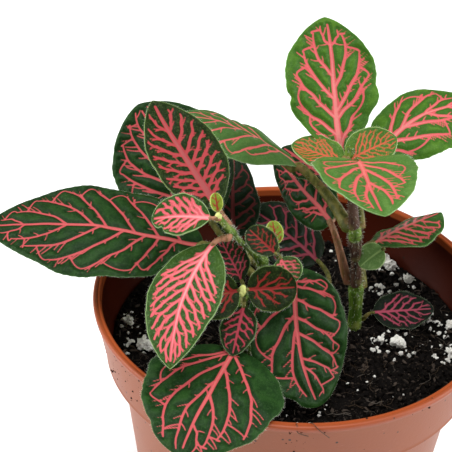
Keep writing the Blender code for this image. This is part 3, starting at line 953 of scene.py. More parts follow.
# %% Tall shoot
TALL_LEAVES = (
    Leaf("leaf_tall_upright", root=(10.6, 5, 126.6), base=(9.3, 6.3, 127.3), heading=111, pitch=53,
         length=35.7, width=24.5, droop=6, sway=-8, fold=4, widest=0.52, base_round=0.88,
         tip_round=0.75, skin="young", veins="netted", spine=(0, -0.05, -0.12), wave=0.7,
         stalk=1.15,
         left=((0.05, 0.17, 0.72), (0.14, 0.36, 0.86), (0.27, 0.58, 0.86), (0.4, 0.75, 0.72),
               (0.57, 0.88, 0.58), (0.79, 0.93, 0.34)),
         right=((0.04, 0.3, 0.66), (0.26, 0.54, 0.92), (0.31, 0.72, 0.88), (0.48, 0.87, 0.66),
                (0.79, 0.9, 0.6)),
         notches=((0.44, 1, 1.0, 0.035), (0.27, -1, 0.9, 0.05), (0.5, -1, 0.6, 0.05))),
    Leaf("leaf_tall_front", root=(12, 1, 127.4), base=(13, -0.6, 130.4), heading=277, pitch=22,
         length=35, width=25, droop=22, sway=7, roll=2, fold=11, widest=0.33, base_round=0.46,
         tip_round=0.62, skin="front", veins="open", spine=(0.05, -0.02, -0.1), wave=0.4,
         left=((0.52, 0.9, 0.5), (0.26, 0.84, 0.62), (0.12, 0.66, 0.76), (0.05, 0.36, 0.8)),
         right=((0.56, 0.92, 0.46), (0.34, 0.82, 0.66), (0.2, 0.66, 0.84), (0.08, 0.42, 0.86),
                (0.03, 0.2, 0.8))),
    Leaf("leaf_tall_young_left", root=(10, 2.4, 128.8), base=(9.7, 1.7, 128.4), heading=168,
         pitch=13, length=13.4, width=10.8, droop=3, sway=4, roll=-14, fold=9, base_round=0.36,
         skin="crown", veins="fine", count=7, spread=0.44, wave=0.25),
    Leaf("leaf_tall_young_right", root=(11.5, 3.4, 128.6), base=(11.3, 3.0, 128.2), heading=24,
         pitch=26, length=13.4, width=11.4, droop=12, roll=26, fold=9, base_round=0.36,
         skin="crown", veins="fine", count=7, spread=0.34, wave=0.25),
    # The soft skin's lighter greens are painted sheen, for light striking this leaf at a glancing
    # angle.
    Leaf("leaf_tall_left_long", root=(12.6, 4.4, 107.4), base=(-1, 15, 118), heading=172,
         pitch=36, length=36, width=24, droop=38, sway=8, roll=14, twist=-16, fold=-7, bow=0.12,
         widest=0.6, base_round=0.9, skin="soft", spine=(-0.1, -0.3, -0.3), stalk=1.4,
         left=((0.17, 0.32, 0.6), (0.25, 0.5, 0.86), (0.36, 0.66, 0.66), (0.5, 0.8, 0.42),
               (0.66, 0.9, 0.3)),
         right=((0.3, 0.5, 0.9), (0.42, 0.68, 0.92), (0.56, 0.8, 0.9), (0.7, 0.9, 0.8))),
    Leaf("leaf_tall_right", root=(16.1, 4.4, 108.2), base=(18, 11, 125), heading=40, pitch=43,
         length=35, width=23, droop=58, sway=-18, roll=12, fold=-13, widest=0.5,
         tip_round=0.85, skin="young", veins="netted", spine=(0, 0.06, 0), stalk=1.0,
         left=((0.16, 0.44, 0.9), (0.28, 0.7, 0.86), (0.5, 0.8, 0.55), (0.68, 0.92, 0.4)),
         right=((0.1, 0.58, 0.76), (0.3, 0.7, 0.42), (0.06, 0.2, 0.75), (0.5, 0.84, 0.6),
                (0.68, 0.93, 0.4))),
    Leaf("leaf_tall_hidden", root=(10.4, 5, 121), base=(6.5, 16.5, 114), heading=142, pitch=12,
         length=16, width=10, droop=5, roll=-20, count=4),
    Leaf("leaf_tall_low_left", root=(13.9, 5.8, 89.2), base=(8, 8, 106), heading=123, pitch=6,
         length=30, width=16, droop=2, roll=-60, fold=-18, base_round=0.5, stalk_bend=0.15,
         spine=(-0.1, -0.02, -0.2), stalk=1.0,
         left=((0.08, 0.3, 0.42), (0.2, 0.42, 0.6), (0.34, 0.52, 0.6), (0.5, 0.68, 0.5),
               (0.62, 0.8, 0.5), (0.76, 0.9, 0.4)),
         right=((0.1, 0.34, 0.8), (0.28, 0.5, 0.8), (0.46, 0.68, 0.8), (0.64, 0.84, 0.7))),
    Leaf("leaf_tall_low_right", root=(17.9, 7.2, 87.6), base=(20, 17, 94), heading=43, pitch=8,
         length=25.5, width=19, droop=12, sway=-4, roll=-22, twist=8, fold=-18,
         base_round=0.75, tip_round=0.75, veins="netted", skin="middle", count=6, stalk=1.35),
    Leaf("leaf_tall_side_bud", root=(16.9, 5.2, 95.4), base=(22.3, 4.8, 101.0),
         heading=206, pitch=-27, length=7.6, width=7.4, droop=16, roll=-30, fold=8,
         base_round=0.5, stalk_bend=0.2, skin="plain", veins="fine", count=0, wave=0.2,
         stalk=0.55),
    Leaf("leaf_on_soil", root=(19.6, 8.5, 75.2), base=(22, 9.3, 76.8), heading=8, pitch=6,
         length=16.5, width=12, droop=4, roll=20, fold=-1, skin="fallen", veins="small", count=5,
         spread=0.36, stalk=0.5),
)

# %% [markdown]
# ### Leaves of the left shoot
# The left shoot mixes old and young: the long dark leaf over the rim has thin arching veins, and
# the pink ones near the tip are so densely veined that little green is left.

# %% Left shoot
LEFT_LEAVES = (
    Leaf("leaf_left_upright_young", root=(-16.8, -18.2, 120.6), base=(-20, -13, 122),
         heading=144, pitch=42, length=31, width=19.5, droop=8, sway=-12, roll=-8, fold=6,
         widest=0.43, base_round=0.65, tip_round=0.82, skin="rich", veins="crowded",
         spine=(0, 0.02, 0.08), wave=0.3,
         left=((0.1, 0.22, 0.74), (0.17, 0.3, 0.84), (0.24, 0.38, 0.86), (0.31, 0.48, 0.86),
               (0.39, 0.58, 0.86), (0.47, 0.69, 0.86), (0.57, 0.79, 0.82), (0.7, 0.9, 0.7)),
         right=((0.08, 0.2, 0.74), (0.15, 0.3, 0.8), (0.22, 0.4, 0.8), (0.3, 0.5, 0.8),
                (0.38, 0.6, 0.8), (0.47, 0.7, 0.78), (0.57, 0.8, 0.7), (0.7, 0.88, 0.55))),
    Leaf("leaf_left_front_pink", root=(-16.6, -21.6, 119), base=(-20, -23, 118), heading=237,
         pitch=-22, length=33.5, width=18.5, droop=18, sway=38, roll=8, fold=0, bow=0.03,
         widest=0.39, base_round=0.7, tip_round=0.87, skin="pink", veins="dense",
         count=9, spread=0.3, wave=0.3, stalk=0.75),
    Leaf("leaf_left_tip", root=(-19.6, -21.6, 124.4), base=(-21, -22, 124.7), heading=168,
         pitch=-4, length=15, width=11, droop=18, sway=4, roll=-34, fold=14, widest=0.5,
         base_round=0.75, skin="pink", veins="dense", count=6, spread=0.3, wave=0.35,
         notches=((0.8, 1, 1.3, 0.06),), stalk=0.5),
    Leaf("leaf_left_bud", root=(-19, -20.4, 124.8), base=(-19.4, -20.2, 125.4), heading=110,
         pitch=50, length=4.6, width=3.2, fold=12, widest=0.5, base_round=0.5, tip_round=0.5,
         skin="bud", veins="fine", count=2, wave=0.1, stalk=0.4),
    Leaf("leaf_left_long", root=(-10.2, -6, 102), base=(-24, -2, 103), heading=182,
         pitch=12, length=57, width=32, droop=22, sway=-3, roll=-12, fold=-2, bow=0.05,
         widest=0.47, tip_round=0.85, spine=(0.14, -0.04, 0.04), wave=0.7, stalk=1.1,
         left=((0.12, 0.22, 0.82), (0.2, 0.3, 0.88), (0.26, 0.5, 0.86), (0.36, 0.68, 0.86),
               (0.47, 0.8, 0.74), (0.62, 0.86, 0.62), (0.81, 0.92, 0.5)),
         right=((0.1, 0.22, 0.8), (0.2, 0.38, 0.86), (0.31, 0.52, 0.92), (0.44, 0.65, 0.94),
                (0.5, 0.78, 0.84), (0.62, 0.86, 0.56), (0.82, 0.93, 0.4))),
    Leaf("leaf_left_back_round", root=(-8.8, 3, 88.4), base=(-23, 11, 101.3), heading=145,
         pitch=42, length=37, width=32, droop=4, sway=-8, roll=-30, fold=-2, bow=0.1,
         widest=0.52, wave=0.5, stalk=1.0,
         left=((0.06, 0.4, 0.86), (0.14, 0.62, 0.88), (0.24, 0.8, 0.82), (0.38, 0.9, 0.6),
               (0.58, 0.95, 0.36)),
         right=((0.08, 0.36, 0.8), (0.18, 0.6, 0.84), (0.3, 0.78, 0.76), (0.46, 0.9, 0.6),
                (0.64, 0.95, 0.36))),
    # This leaf stands in shade, and its skin is a darker copy with the shade painted in.
    Leaf("leaf_left_shaded", root=(-6.2, 4, 89.4), base=(-17, 12, 96), heading=98, pitch=26,
         length=28, width=15.5, droop=4, sway=-6, roll=20, fold=2, widest=0.36,
         stalk_bend=0.1, skin="deep", count=5, stalk=0.9),
)

# %% [markdown]
# ### Leaves of the middle and inner shoots
# The two short shoots carry small dark leaves with ruby veins at their tips, and below them the two
# large leaves that hang to the front, one over the rim and one over the peat.

# %% Middle and inner shoots
INNER_LEAVES = (
    Leaf("leaf_middle_pair_left", root=(-13.2, -22.6, 104.4), base=(-13.4, -23.2, 104.9),
         heading=205, pitch=-3, length=11.5, width=12, roll=-50, fold=9, widest=0.5,
         base_round=0.52, tip_round=0.52, skin="ruby", veins="small", wave=0.3, stalk=0.5,
         left=((0.1, 0.5, 0.72), (0.22, 0.72, 0.66), (0.45, 0.86, 0.4)),
         right=((0.1, 0.4, 0.76), (0.22, 0.62, 0.76), (0.4, 0.82, 0.5))),
    Leaf("leaf_middle_pair_right", root=(-11.6, -22.4, 104.4), base=(-11.2, -22.8, 105.1),
         heading=4, pitch=5, length=12, width=11.5, sway=2, roll=56, fold=11, widest=0.49,
         base_round=0.46, tip_round=0.47, skin="ruby", veins="small", wave=0.3, stalk=0.5,
         left=((0.14, 0.46, 0.7), (0.26, 0.74, 0.5), (0.5, 0.86, 0.3)),
         right=((0.12, 0.34, 0.8), (0.22, 0.66, 0.72), (0.4, 0.82, 0.44))),
    Leaf("leaf_middle_back", root=(-12.6, -16.2, 99.8), base=(-13.2, -12.8, 100.2), heading=150,
         pitch=56, length=13, width=10, roll=-16, skin="shaded_pink", veins="fine", count=6,
         stalk=0.6),
    Leaf("leaf_middle_hanging", root=(-12.2, -20.6, 99.4), base=(-12, -21.7, 99), heading=262,
         pitch=-24, length=13.5, width=9, droop=8, fold=6, skin="shaded_pink", veins="small",
         count=5, stalk=0.6),
    Leaf("leaf_middle_rim_drape", root=(-12.4, -20.2, 90), base=(-13.2, -29.6, 91.8),
         heading=254, pitch=10, length=36, width=34, droop=40, roll=-4, fold=-2, bow=0.1,
         widest=0.37, tip_round=0.6, spine=(0.02, 0.02, -0.08), wave=0.6, stalk=0.9,
         left=((0.04, 0.74, 0.92), (0.24, 0.82, 0.6), (0.51, 0.9, 0.46), (0.76, 0.95, 0.36)),
         right=((0.04, 0.6, 0.88), (0.17, 0.9, 0.78), (0.38, 0.96, 0.4), (0.02, 0.3, 0.7)),
         notches=((0.82, -1, 0.8, 0.04),)),
    Leaf("leaf_inner_pair_left", root=(-5.4, -14, 110), base=(-5.2, -15, 111),
         heading=142, pitch=18, length=9.5, width=7, roll=-32, fold=8, widest=0.5,
         base_round=0.46, tip_round=0.52, skin="ruby", veins="fine", count=5, wave=0.25,
         stalk=0.45),
    Leaf("leaf_inner_pair_right", root=(-4, -14, 109.4), base=(-3.8, -14.8, 109.4),
         heading=310, pitch=-26, length=7, width=7.5, droop=12, roll=20, fold=10, widest=0.5,
         base_round=0.5, tip_round=0.58, skin="pink", veins="fine", count=5, wave=0.25,
         stalk=0.45),
    Leaf("leaf_inner_bud", root=(-4.6, -12, 110.4), base=(-5, -11.2, 111.2), heading=110,
         pitch=40, length=6, width=4.4, roll=-10, widest=0.5, base_round=0.5, tip_round=0.5,
         skin="bud", veins="fine", count=3, wave=0.1, stalk=0.4),
    Leaf("leaf_inner_large", root=(0.6, -9.8, 101), base=(0, -13.4, 106), heading=275,
         pitch=-50, length=35, width=26, sway=36, fold=-4, bow=0.08, widest=0.47,
         base_round=0.45, tip_round=0.56, spine=(0, -0.06, -0.12), wave=0.6, stalk=0.9,
         left=((0.1, 0.09, 0.86), (0.13, 0.2, 0.84), (0.22, 0.42, 0.88), (0.35, 0.6, 0.8),
               (0.46, 0.77, 0.86), (0.64, 0.84, 0.8), (0.7, 0.93, 0.4)),
         right=((0.1, 0.26, 0.86), (0.22, 0.44, 0.9), (0.33, 0.7, 0.84), (0.42, 0.9, 0.48)),
         notches=((0.9, -1, 1.2, 0.05),)),
    Leaf("leaf_inner_shaded", root=(1.8, -4.6, 85), base=(6, 17, 87), heading=155, pitch=32,
         length=23, width=20, droop=8, sway=10, roll=-13, fold=-4, widest=0.47,
         base_round=0.45, tip_round=0.63, skin="shaded", count=5),
)
LEAVES = TALL_LEAVES + LEFT_LEAVES + INNER_LEAVES
print("leaves:", len(LEAVES))

# %% [markdown]
# ## Blade surface
# The blade is a sheet swept along its midrib. The midrib runs forward while its heading and pitch
# change, and the sheet's half width follows an outline. Numpy works out many points at once. The
# same function gives the blade, its margin hairs and the stalk's end, so they always meet.

# %% Blade surface
SPINE_STEPS = 200


def leaf_axes(leaf, along):
    """Forward, left and upper normal of the blade at shares of its length, as arrays."""
    heading = np.radians(leaf.heading + leaf.sway * along)
    pitch = np.radians(leaf.pitch - leaf.droop * along)
    roll = np.radians(leaf.roll + leaf.twist * along)[:, None]
    flat = np.cos(pitch)
    forward = np.stack([flat * np.cos(heading), flat * np.sin(heading), np.sin(pitch)], 1)
    level = np.stack([-np.sin(heading), np.cos(heading), 0 * heading], 1)
    upright = np.cross(forward, level)
    left = level * np.cos(roll) + upright * np.sin(roll)
    return forward, left, upright * np.cos(roll) - level * np.sin(roll)


def midrib(leaf, along):
    """Points on the midrib, in mm, at shares of the blade's length."""
    middles = (np.arange(SPINE_STEPS) + 0.5) / SPINE_STEPS
    runs = leaf_axes(leaf, middles)[0] * leaf.length / SPINE_STEPS
    points = np.vstack([leaf.base, np.array(leaf.base) + np.cumsum(runs, 0)])
    marks = np.arange(SPINE_STEPS + 1) / SPINE_STEPS
    return np.stack([np.interp(along, marks, points[:, axis]) for axis in range(3)], 1)


def half_width(leaf, along, side):
    """Half width in mm on one side, with the outline's ripples and bites."""
    before = np.clip((leaf.widest - along) / leaf.widest, 0, 1)
    after = np.clip((along - leaf.widest) / (1 - leaf.widest), 0, 1)
    outline = np.where(
        along < leaf.widest, (1 - before**2) ** leaf.base_round, (1 - after**2) ** leaf.tip_round
    )
    phase = leaf.length + 2.3 * side
    ripple = np.sin(along * 19 + phase) + 0.6 * np.sin(along * 43 + 2 * phase)
    ripple = ripple + 0.35 * np.sin(along * leaf.length * 3.1 + phase)
    width = leaf.width / 2 * outline * (1 + 0.012 * ripple)
    for place, notch_side, depth, reach in leaf.notches:
        bite = depth * np.exp(-(((along - place) / reach) ** 2))
        width = width - np.where(side == notch_side, bite, 0) * np.minimum(outline * 2, 1)
    return np.maximum(width, 0)


def blade(leaf, along, across, lift=0.0):
    """Points on the blade in mm; across is -1 to 1, and lift is a height over the sheet."""
    forward, left, normal = leaf_axes(leaf, along)
    side = np.where(across >= 0, 1, -1)
    reach = np.abs(across) * half_width(leaf, along, side)
    fold = math.radians(leaf.fold)
    ripple = leaf.wave * np.abs(across) ** 2.5 * np.sin(along * 15 + leaf.length + side * 1.9)
    ripple = ripple * np.sin(np.pi * np.clip(along, 0, 1))
    rise = reach * math.sin(fold) - leaf.bow * reach**2 / (leaf.width / 2) + ripple + lift
    sideways = left * (side * reach * math.cos(fold))[:, None]
    return midrib(leaf, along) + sideways + normal * rise[:, None]


# %% [markdown]
# ## Veins
# A painted texture could carry the veins, but then the blade would stay smooth. Instead each vein
# is a curved line with a width, and every vertex stores its distance to the nearest vein's edge
# as an attribute. The material turns that number into pink, and the mesh uses it too: the blade
# puffs up between the veins, which lie in grooves, as on the real leaf. Twigs branch off the side
# veins at random, from a seed, so that the pattern is the same each time.

# %% Vein lines
FAR = 2.2  # mm; beyond it the distance to a vein no longer matters
THINNEST = 0.16  # half width in mm at which a twig still shows on the mesh


def spine_shift(leaf, along):
    """Where the midrib's vein lies across the blade at a share of the length."""
    return np.interp(along, (0, 0.5, 1), leaf.spine)


def side_veins(leaf):
    """All side veins as (side, start, end, reach)."""
    if leaf.left or leaf.right:
        return [(1, *vein) for vein in leaf.left] + [(-1, *vein) for vein in leaf.right]
    found = []
    for side in (1, -1):
        for number in range(leaf.count):
            start = 0.05 + 0.76 * (number + 0.25 * side + 0.25) / leaf.count
            end = min(start + leaf.spread * (1 - 0.35 * start), 0.96)
            reach = 0.84 * math.sqrt(max(1 - ((end - leaf.widest) / 0.62) ** 4, 0.1))
            found.append((side, max(start, 0.03), end, reach))
    return found


def flat_place(leaf, along, across):
    """A place on the blade laid out flat, in mm."""
    side = np.where(across >= 0, 1, -1)
    return np.stack([along * leaf.length, across * half_width(leaf, along, side)], 1)


def trimmed(leaf, line, radii):
    """The part of a line that stays inside the blade's margin."""
    along = line[:, 0] / leaf.length
    side = np.where(line[:, 1] >= 0, 1, -1)
    room = half_width(leaf, np.clip(along, 0, 1), side) - np.abs(line[:, 1])
    inside = (room > 0.05 * leaf.width / 2 + 0.35) & (along < 0.97)
    first = int(np.argmax(inside))
    rest = inside[first:]
    keep = len(line) if rest.all() else first + int(np.argmin(rest))
    taper = np.clip((keep - np.arange(keep)) / 5, 0.5, 1) if keep < len(line) else 1
    return (line[:keep], radii[:keep] * taper) if inside.any() and keep > 1 else None


def twig(start, heading, bend, length, thick, thin):
    """A short curved line that leaves start along heading and bends as it goes."""
    steps = 5
    angles = math.atan2(heading[1], heading[0]) + bend * np.arange(steps) / steps
    runs = np.stack([np.cos(angles), np.sin(angles)], 1) * length / steps
    line = np.vstack([start, start + np.cumsum(runs, 0)])
    return line, np.linspace(thick, thin, steps + 1)


def turned_by(vector, angle):
    """A flat vector turned by an angle in radians."""
    cosine, sine = math.cos(angle), math.sin(angle)
    return np.array([vector[0] * cosine - vector[1] * sine, vector[0] * sine + vector[1] * cosine])


def twigs_on(leaf, line, radii, side, rng):
    """Branches of a side vein: forks on dense leaves; spurs and thin outer ribs on the others."""
    style = VEINING[leaf.veins]
    reach = np.concatenate([[0], np.cumsum(np.linalg.norm(np.diff(line, axis=0), axis=1))])
    found = []
    place = style.spacing * rng.uniform(0.6, 1.0)
    outward = 1
    while place < 0.97 * reach[-1]:
        spot = np.array([np.interp(place, reach, line[:, axis]) for axis in (0, 1)])
        index = min(int(np.searchsorted(reach, place)), len(line) - 1)
        run = line[index] - line[index - 1]
        run = run / max(np.linalg.norm(run), 1e-6)
        thick = max(min(0.8 * np.interp(place, reach, radii), style.twig / 2), style.twig / 2.5)
        if not style.thorn:
            angle = side * outward * rng.uniform(0.45, 0.7)
            length = style.twig_length * (1 if outward > 0 else 0.6) * rng.uniform(0.6, 1.1)
            branch = twig(spot, turned_by(run, angle), -0.4 * angle, length, thick, style.twig / 5)
            found.append(branch)
            if outward > 0 and rng.random() < 0.6:
                fork = turned_by(run, 1.5 * angle)
                end = branch[0][2]
                found.append(twig(end, fork, 0, length * 0.5, style.twig / 3, style.twig / 6))
        elif place > 0.42 * reach[-1] and rng.random() < 0.7:
            heading = np.array([rng.uniform(0.3, 0.9), side])
            length = style.twig_length * rng.uniform(0.55, 1.15)
            bend = side * rng.uniform(-0.5, 0.1)
            found.append(twig(spot, heading, bend, length, max(thick, THINNEST), 0.12))
        elif rng.random() < 0.55:
            angle = side * outward * rng.uniform(0.8, 1.25)
            length = style.thorn * rng.uniform(0.5, 1.3)
            heading = turned_by(run, angle)
            found.append(twig(spot, heading, -0.5 * angle, length, max(thick, THINNEST), 0.1))
        place += style.spacing * rng.uniform(0.5, 1.1)
        outward = -outward
    return found


def side_vein(leaf, side, start, end, reach):
    """One side vein: an arc that leaves the midrib steeply and swings to the tip."""
    style = VEINING[leaf.veins]
    share = np.linspace(0, 1, 20)
    first = float(spine_shift(leaf, start))
    goal = side * reach * style.reach
    bend = (start + (0.5 - style.arch) * (end - start), first + (0.5 + style.arch) * (goal - first))
    places = (1 - share) ** 2 * start + 2 * share * (1 - share) * bend[0] + share**2 * end
    across = (1 - share) ** 2 * first + 2 * share * (1 - share) * bend[1] + share**2 * goal
    line = flat_place(leaf, places, across)
    sway = 0.14 * np.stack([np.sin(share * 15 + start * 40), np.cos(share * 11 + end * 30)], 1)
    line += sway * np.minimum(share * 4, 1)[:, None]
    radii = style.lateral / 2 * (1 - share) ** 0.6 + style.twig / 2.4 * share
    return line, radii * (0.75 + 0.25 * min((end - start) / 0.3, 1)) * (1.25 - 0.5 * start)


def vein_lines(leaf):
    """Every vein of a leaf as flat points in mm with a half width at each."""
    style = VEINING[leaf.veins]
    rng = random.Random(leaf.name)
    along = np.linspace(0, 0.94, 40)
    thick = style.midrib / 2 * (1 - along) ** 0.75 + style.twig / 2.4 * along
    lines = [(flat_place(leaf, along, spine_shift(leaf, along)), thick)]
    sides = {1: [], -1: []}
    for side, start, end, reach in sorted(side_veins(leaf)):
        vein = trimmed(leaf, *side_vein(leaf, side, start, end, reach))
        if vein:
            lines.append(vein)
            sides[side].append(vein[0])
            lines += twigs_on(leaf, *vein, side, rng)
    for side in (1, -1) if style.loop else ():
        for lower, upper in zip(sides[side], sides[side][1:]):
            goal = upper[int(len(upper) * rng.uniform(0.7, 0.84))]
            share = np.linspace(0, 1, 9)[:, None]
            bulge = np.array([0, side * 0.1 * leaf.width]) * share * (1 - share) * 2
            loop = lower[-1] + (goal - lower[-1]) * share + bulge
            lines.append((loop, np.linspace(0.9, 1.1, 9) * style.loop / 2))
    kept = [trimmed(leaf, *line) for line in lines]
    return [line for line in kept if line is not None]


def vein_distance(places, lines):
    """Distance in mm from each flat place to the nearest vein's edge; negative inside a vein."""
    found = np.full(len(places), FAR)
    for line, radii in lines:
        low, high = line.min(0) - FAR, line.max(0) + FAR
        near = np.flatnonzero(((places > low) & (places < high)).all(1))
        here = places[near]
        for start, end, thick, thin in zip(line, line[1:], radii, radii[1:]):
            run = end - start
            share = np.clip((here - start) @ run / max(run @ run, 1e-9), 0, 1)
            gap = np.linalg.norm(here - start - share[:, None] * run, axis=1)
            found[near] = np.minimum(found[near], gap - thick - (thin - thick) * share)
    return found


# %% [markdown]
# ## Leaf skins
# One node group paints every leaf: green blade, pink veins with a paler core, a pale rim at the
# margin, and the fine cells that make the surface sparkle, through their roughness and bump and
# through painted glints. Beside the veins it darkens the green as painted shade. Each leaf's
# material gives it its own greens and pinks, because the young leaves are light and the old ones
# dark; the leaves in shade get darker copies, bluish with magenta veins, with the shade painted
# in, and one leaf lit at a glancing angle gets a lighter copy with painted sheen. The underside is
# a second material, pale green with tan veins.

# %% Leaf skin group
LEAF_SOCKETS = ("Blade", "Blade Dark", "Pink", "Pink Core", "Rim")


def make_leaf_group():
    """Colour, roughness and height of a veined blade from its stored distances."""
    tree, given, out = start_group(
        "veined_blade",
        [("Vein", "F"), ("Edge", "F"), *((name, "C") for name in LEAF_SOCKETS)],
        [("Color", "C"), ("Roughness", "F"), ("Height", "F")],
    )
    vein, edge = given.outputs["Vein"], given.outputs["Edge"]
    light, dark, pink, pink_core, rim = [given.outputs[name] for name in LEAF_SOCKETS]
    place = add(tree, "TexCoord").outputs["Object"]
    cells = add(tree, "TexVoronoi", {"Vector": place, "Scale": 2600.0}).outputs["Distance"]
    patches = step(tree, cloud(tree, 170.0, 6.0, 0.75), 0.36, 0.64)
    speckle = step(tree, cloud(tree, 1500.0, 3.0, 0.7), 0.5, 0.75)
    green = blend(tree, patches, light, dark)
    # The green darkens towards a vein, in two steps, as painted shade in the grooves. Pale specks,
    # and painted glints on the cells, are laid over it in the rim's colour.
    for near in (product(tree, step(tree, vein, 0.0, 1.3), 0.4), step(tree, vein, 0.25, 1.1)):
        green = blend(tree, near, dark, green)
    for pale in (product(tree, speckle, 0.3), product(tree, step(tree, cells, 0.42, 0.1), 0.2)):
        green = blend(tree, pale, green, rim)
    ragged = spread(tree, cloud(tree, 1500.0, 2.0), -0.04, 0.04)
    ragged_vein = add(tree, "Math", {0: vein, 1: ragged}, operation="ADD").outputs[0]
    painted = blend(tree, step(tree, vein, -0.12, -0.5), pink, pink_core)
    skin = blend(tree, step(tree, ragged_vein, 0.12, -0.08), green, painted)
    skin = blend(tree, step(tree, edge, 0.26, 0.06), skin, rim)
    tree.links.new(skin, out.inputs["Color"])
    tree.links.new(spread(tree, cells, 0.38, 0.56), out.inputs["Roughness"])
    tree.links.new(cells, out.inputs["Height"])
    return tree


def make_leaf_look(name, group, colours):
    """A leaf material from the group and five colours on a 0 to 255 scale."""
    material, tree, shader = start_material(name, specular=0.1)
    skin = tree.nodes.new("ShaderNodeGroup")
    skin.node_tree = group
    for socket, attribute in (("Vein", "vein"), ("Edge", "edge")):
        stored = add(tree, "Attribute", attribute_name=attribute)
        tree.links.new(stored.outputs["Fac"], skin.inputs[socket])
    for socket, colour in zip(LEAF_SOCKETS, colours):
        skin.inputs[socket].default_value = tint(*colour)
    tree.links.new(skin.outputs["Color"], shader.inputs["Base Color"])
    tree.links.new(skin.outputs["Roughness"], shader.inputs["Roughness"])
    raise_surface(tree, shader, skin.outputs["Height"], 0.12 * MM, 0.35)
    return material


# %% [markdown]
# ### Leaf colours
# Each row is the light and the dark green of a blade, the pink of its veins and of their cores, and
# its rim. Some rows are darker or lighter copies, with shade or sheen painted in. The underside
# and the two kinds of stalk follow.

# %% Leaf colours
LEAF_COLOURS = {
    "old": ((48, 86, 33), (17, 43, 13), (184, 76, 80), (198, 100, 96), (66, 98, 54)),
    "middle": ((70, 106, 42), (40, 76, 28), (192, 82, 84), (206, 110, 104), (96, 132, 70)),
    # This row is a darker copy for a leaf in shade: painted shade in its greens and pinks.
    "deep": ((26, 54, 20), (8, 28, 8), (104, 40, 42), (116, 52, 50), (44, 70, 38)),
    "plain": ((104, 134, 76), (78, 108, 54), (122, 148, 88), (128, 154, 94), (150, 172, 116)),
    # This row is lighter than old: painted sheen, for a leaf that the light strikes at a glancing
    # angle.
    "soft": ((90, 120, 58), (60, 94, 42), (198, 92, 90), (210, 118, 108), (110, 140, 86)),
    "front": ((104, 137, 66), (66, 104, 42), (200, 86, 86), (212, 116, 108), (112, 148, 84)),
    "young": ((94, 136, 36), (50, 88, 24), (198, 84, 88), (210, 122, 118), (100, 146, 62)),
    "rich": ((36, 54, 5), (16, 32, 2), (164, 58, 62), (156, 76, 76), (104, 128, 66)),
    "pink": ((72, 99, 28), (36, 64, 16), (202, 86, 94), (220, 140, 142), (132, 160, 102)),
    "crown": ((94, 126, 36), (56, 92, 26), (184, 84, 58), (204, 122, 92), (146, 168, 104)),
    "ruby": ((30, 46, 4), (15, 27, 2), (132, 38, 34), (118, 34, 32), (84, 106, 52)),
    # This row is a darker copy for a leaf in shade: painted shade in its greens and pinks.
    "shaded": ((17, 36, 12), (7, 21, 6), (122, 47, 60), (136, 60, 72), (42, 68, 38)),
    "fallen": ((25, 38, 21), (11, 20, 12), (168, 72, 92), (184, 90, 110), (66, 82, 58)),
    # This row, too, is darker for leaves in shade: painted shade.
    "shaded_pink": ((31, 46, 9), (14, 28, 5), (160, 54, 68), (174, 78, 86), (76, 104, 56)),
    "bud": ((140, 156, 50), (104, 124, 32), (134, 48, 32), (134, 58, 32), (180, 190, 96)),
}
UNDERSIDE = ((104, 132, 78), (80, 112, 62), (160, 140, 100), (172, 150, 110), (112, 136, 88))

leaf_group = make_leaf_group()
leaf_looks = {
    name: make_leaf_look(f"leaf_{name}", leaf_group, colours)
    for name, colours in LEAF_COLOURS.items()
}
under_look = make_leaf_look("leaf_underside", leaf_group, UNDERSIDE)
pink_stalk_look = make_stem_look("leaf_stalk_pink", (112, 84, 48), (168, 118, 92), (190, 100, 96))
stalk_look = make_stem_look("leaf_stalk", (72, 76, 28), (116, 112, 56), (128, 100, 62))

# %% [markdown]
# ## Making a leaf
# The blade starts as a grid, whose vertices move to the swept surface. The rows crowd towards
# base and tip, where the outline turns fast. Solidify gives it a thickness with the underside's
# material on the back, and the stalk is a tube that runs on under the midrib and fades out.

# %% Build leaves
CELL = 0.27  # mm between two rows of the blade's grid
BLADE_THICKNESS = 0.34
RIB_DEPTH = 0.32  # mm from the blade's upper side down to the rib that the stalk turns into
STALK_POINTS = 14
MARGIN_HAIRS = 3.2  # per mm of blade, on each side


def blade_grid(leaf):
    """The blade's upper sheet as a bmesh with the attributes vein and edge."""
    shape = bmesh.new()
    vein_layer = shape.verts.layers.float.new("vein")
    edge_layer = shape.verts.layers.float.new("edge")
    rows = max(24, int(leaf.length / CELL))
    columns = 2 * max(10, int(leaf.width / CELL / 2))
    bmesh.ops.create_grid(shape, x_segments=rows, y_segments=columns, size=1)
    grid = np.array([vert.co for vert in shape.verts])
    even = (grid[:, 0] + 1) / 2
    along = 0.45 * even + 0.55 * (1 - np.cos(np.pi * even)) / 2
    across = grid[:, 1]
    side = np.where(across >= 0, 1, -1)
    width = half_width(leaf, along, side)
    flat = np.stack([along * leaf.length, across * width], 1)
    vein = vein_distance(flat, vein_lines(leaf))
    ends = np.minimum(along, 1 - along) * leaf.length
    edge = np.minimum((1 - np.abs(across)) * width, 3)
    puff = 1 - np.exp(-((np.maximum(vein, 0) / 0.85) ** 2))
    groove = np.clip(-vein, 0, 0.35)
    soft = np.array([noise.noise(Vector((x * 0.16, y * 0.16, leaf.length))) for x, y in flat])
    fade = np.clip(edge / 1.2, 0, 1) * np.clip(ends / 1.5, 0, 1)
    lift = (VEINING[leaf.veins].puff * puff - 0.35 * groove) * fade + 0.35 * soft * fade
    for vert, place, near, margin in zip(shape.verts, blade(leaf, along, across, lift), vein, edge):
        vert.co = Vector(place) * MM
        vert[vein_layer] = near
        vert[edge_layer] = margin
    bmesh.ops.remove_doubles(shape, verts=shape.verts, dist=0.004 * MM)
    return shape


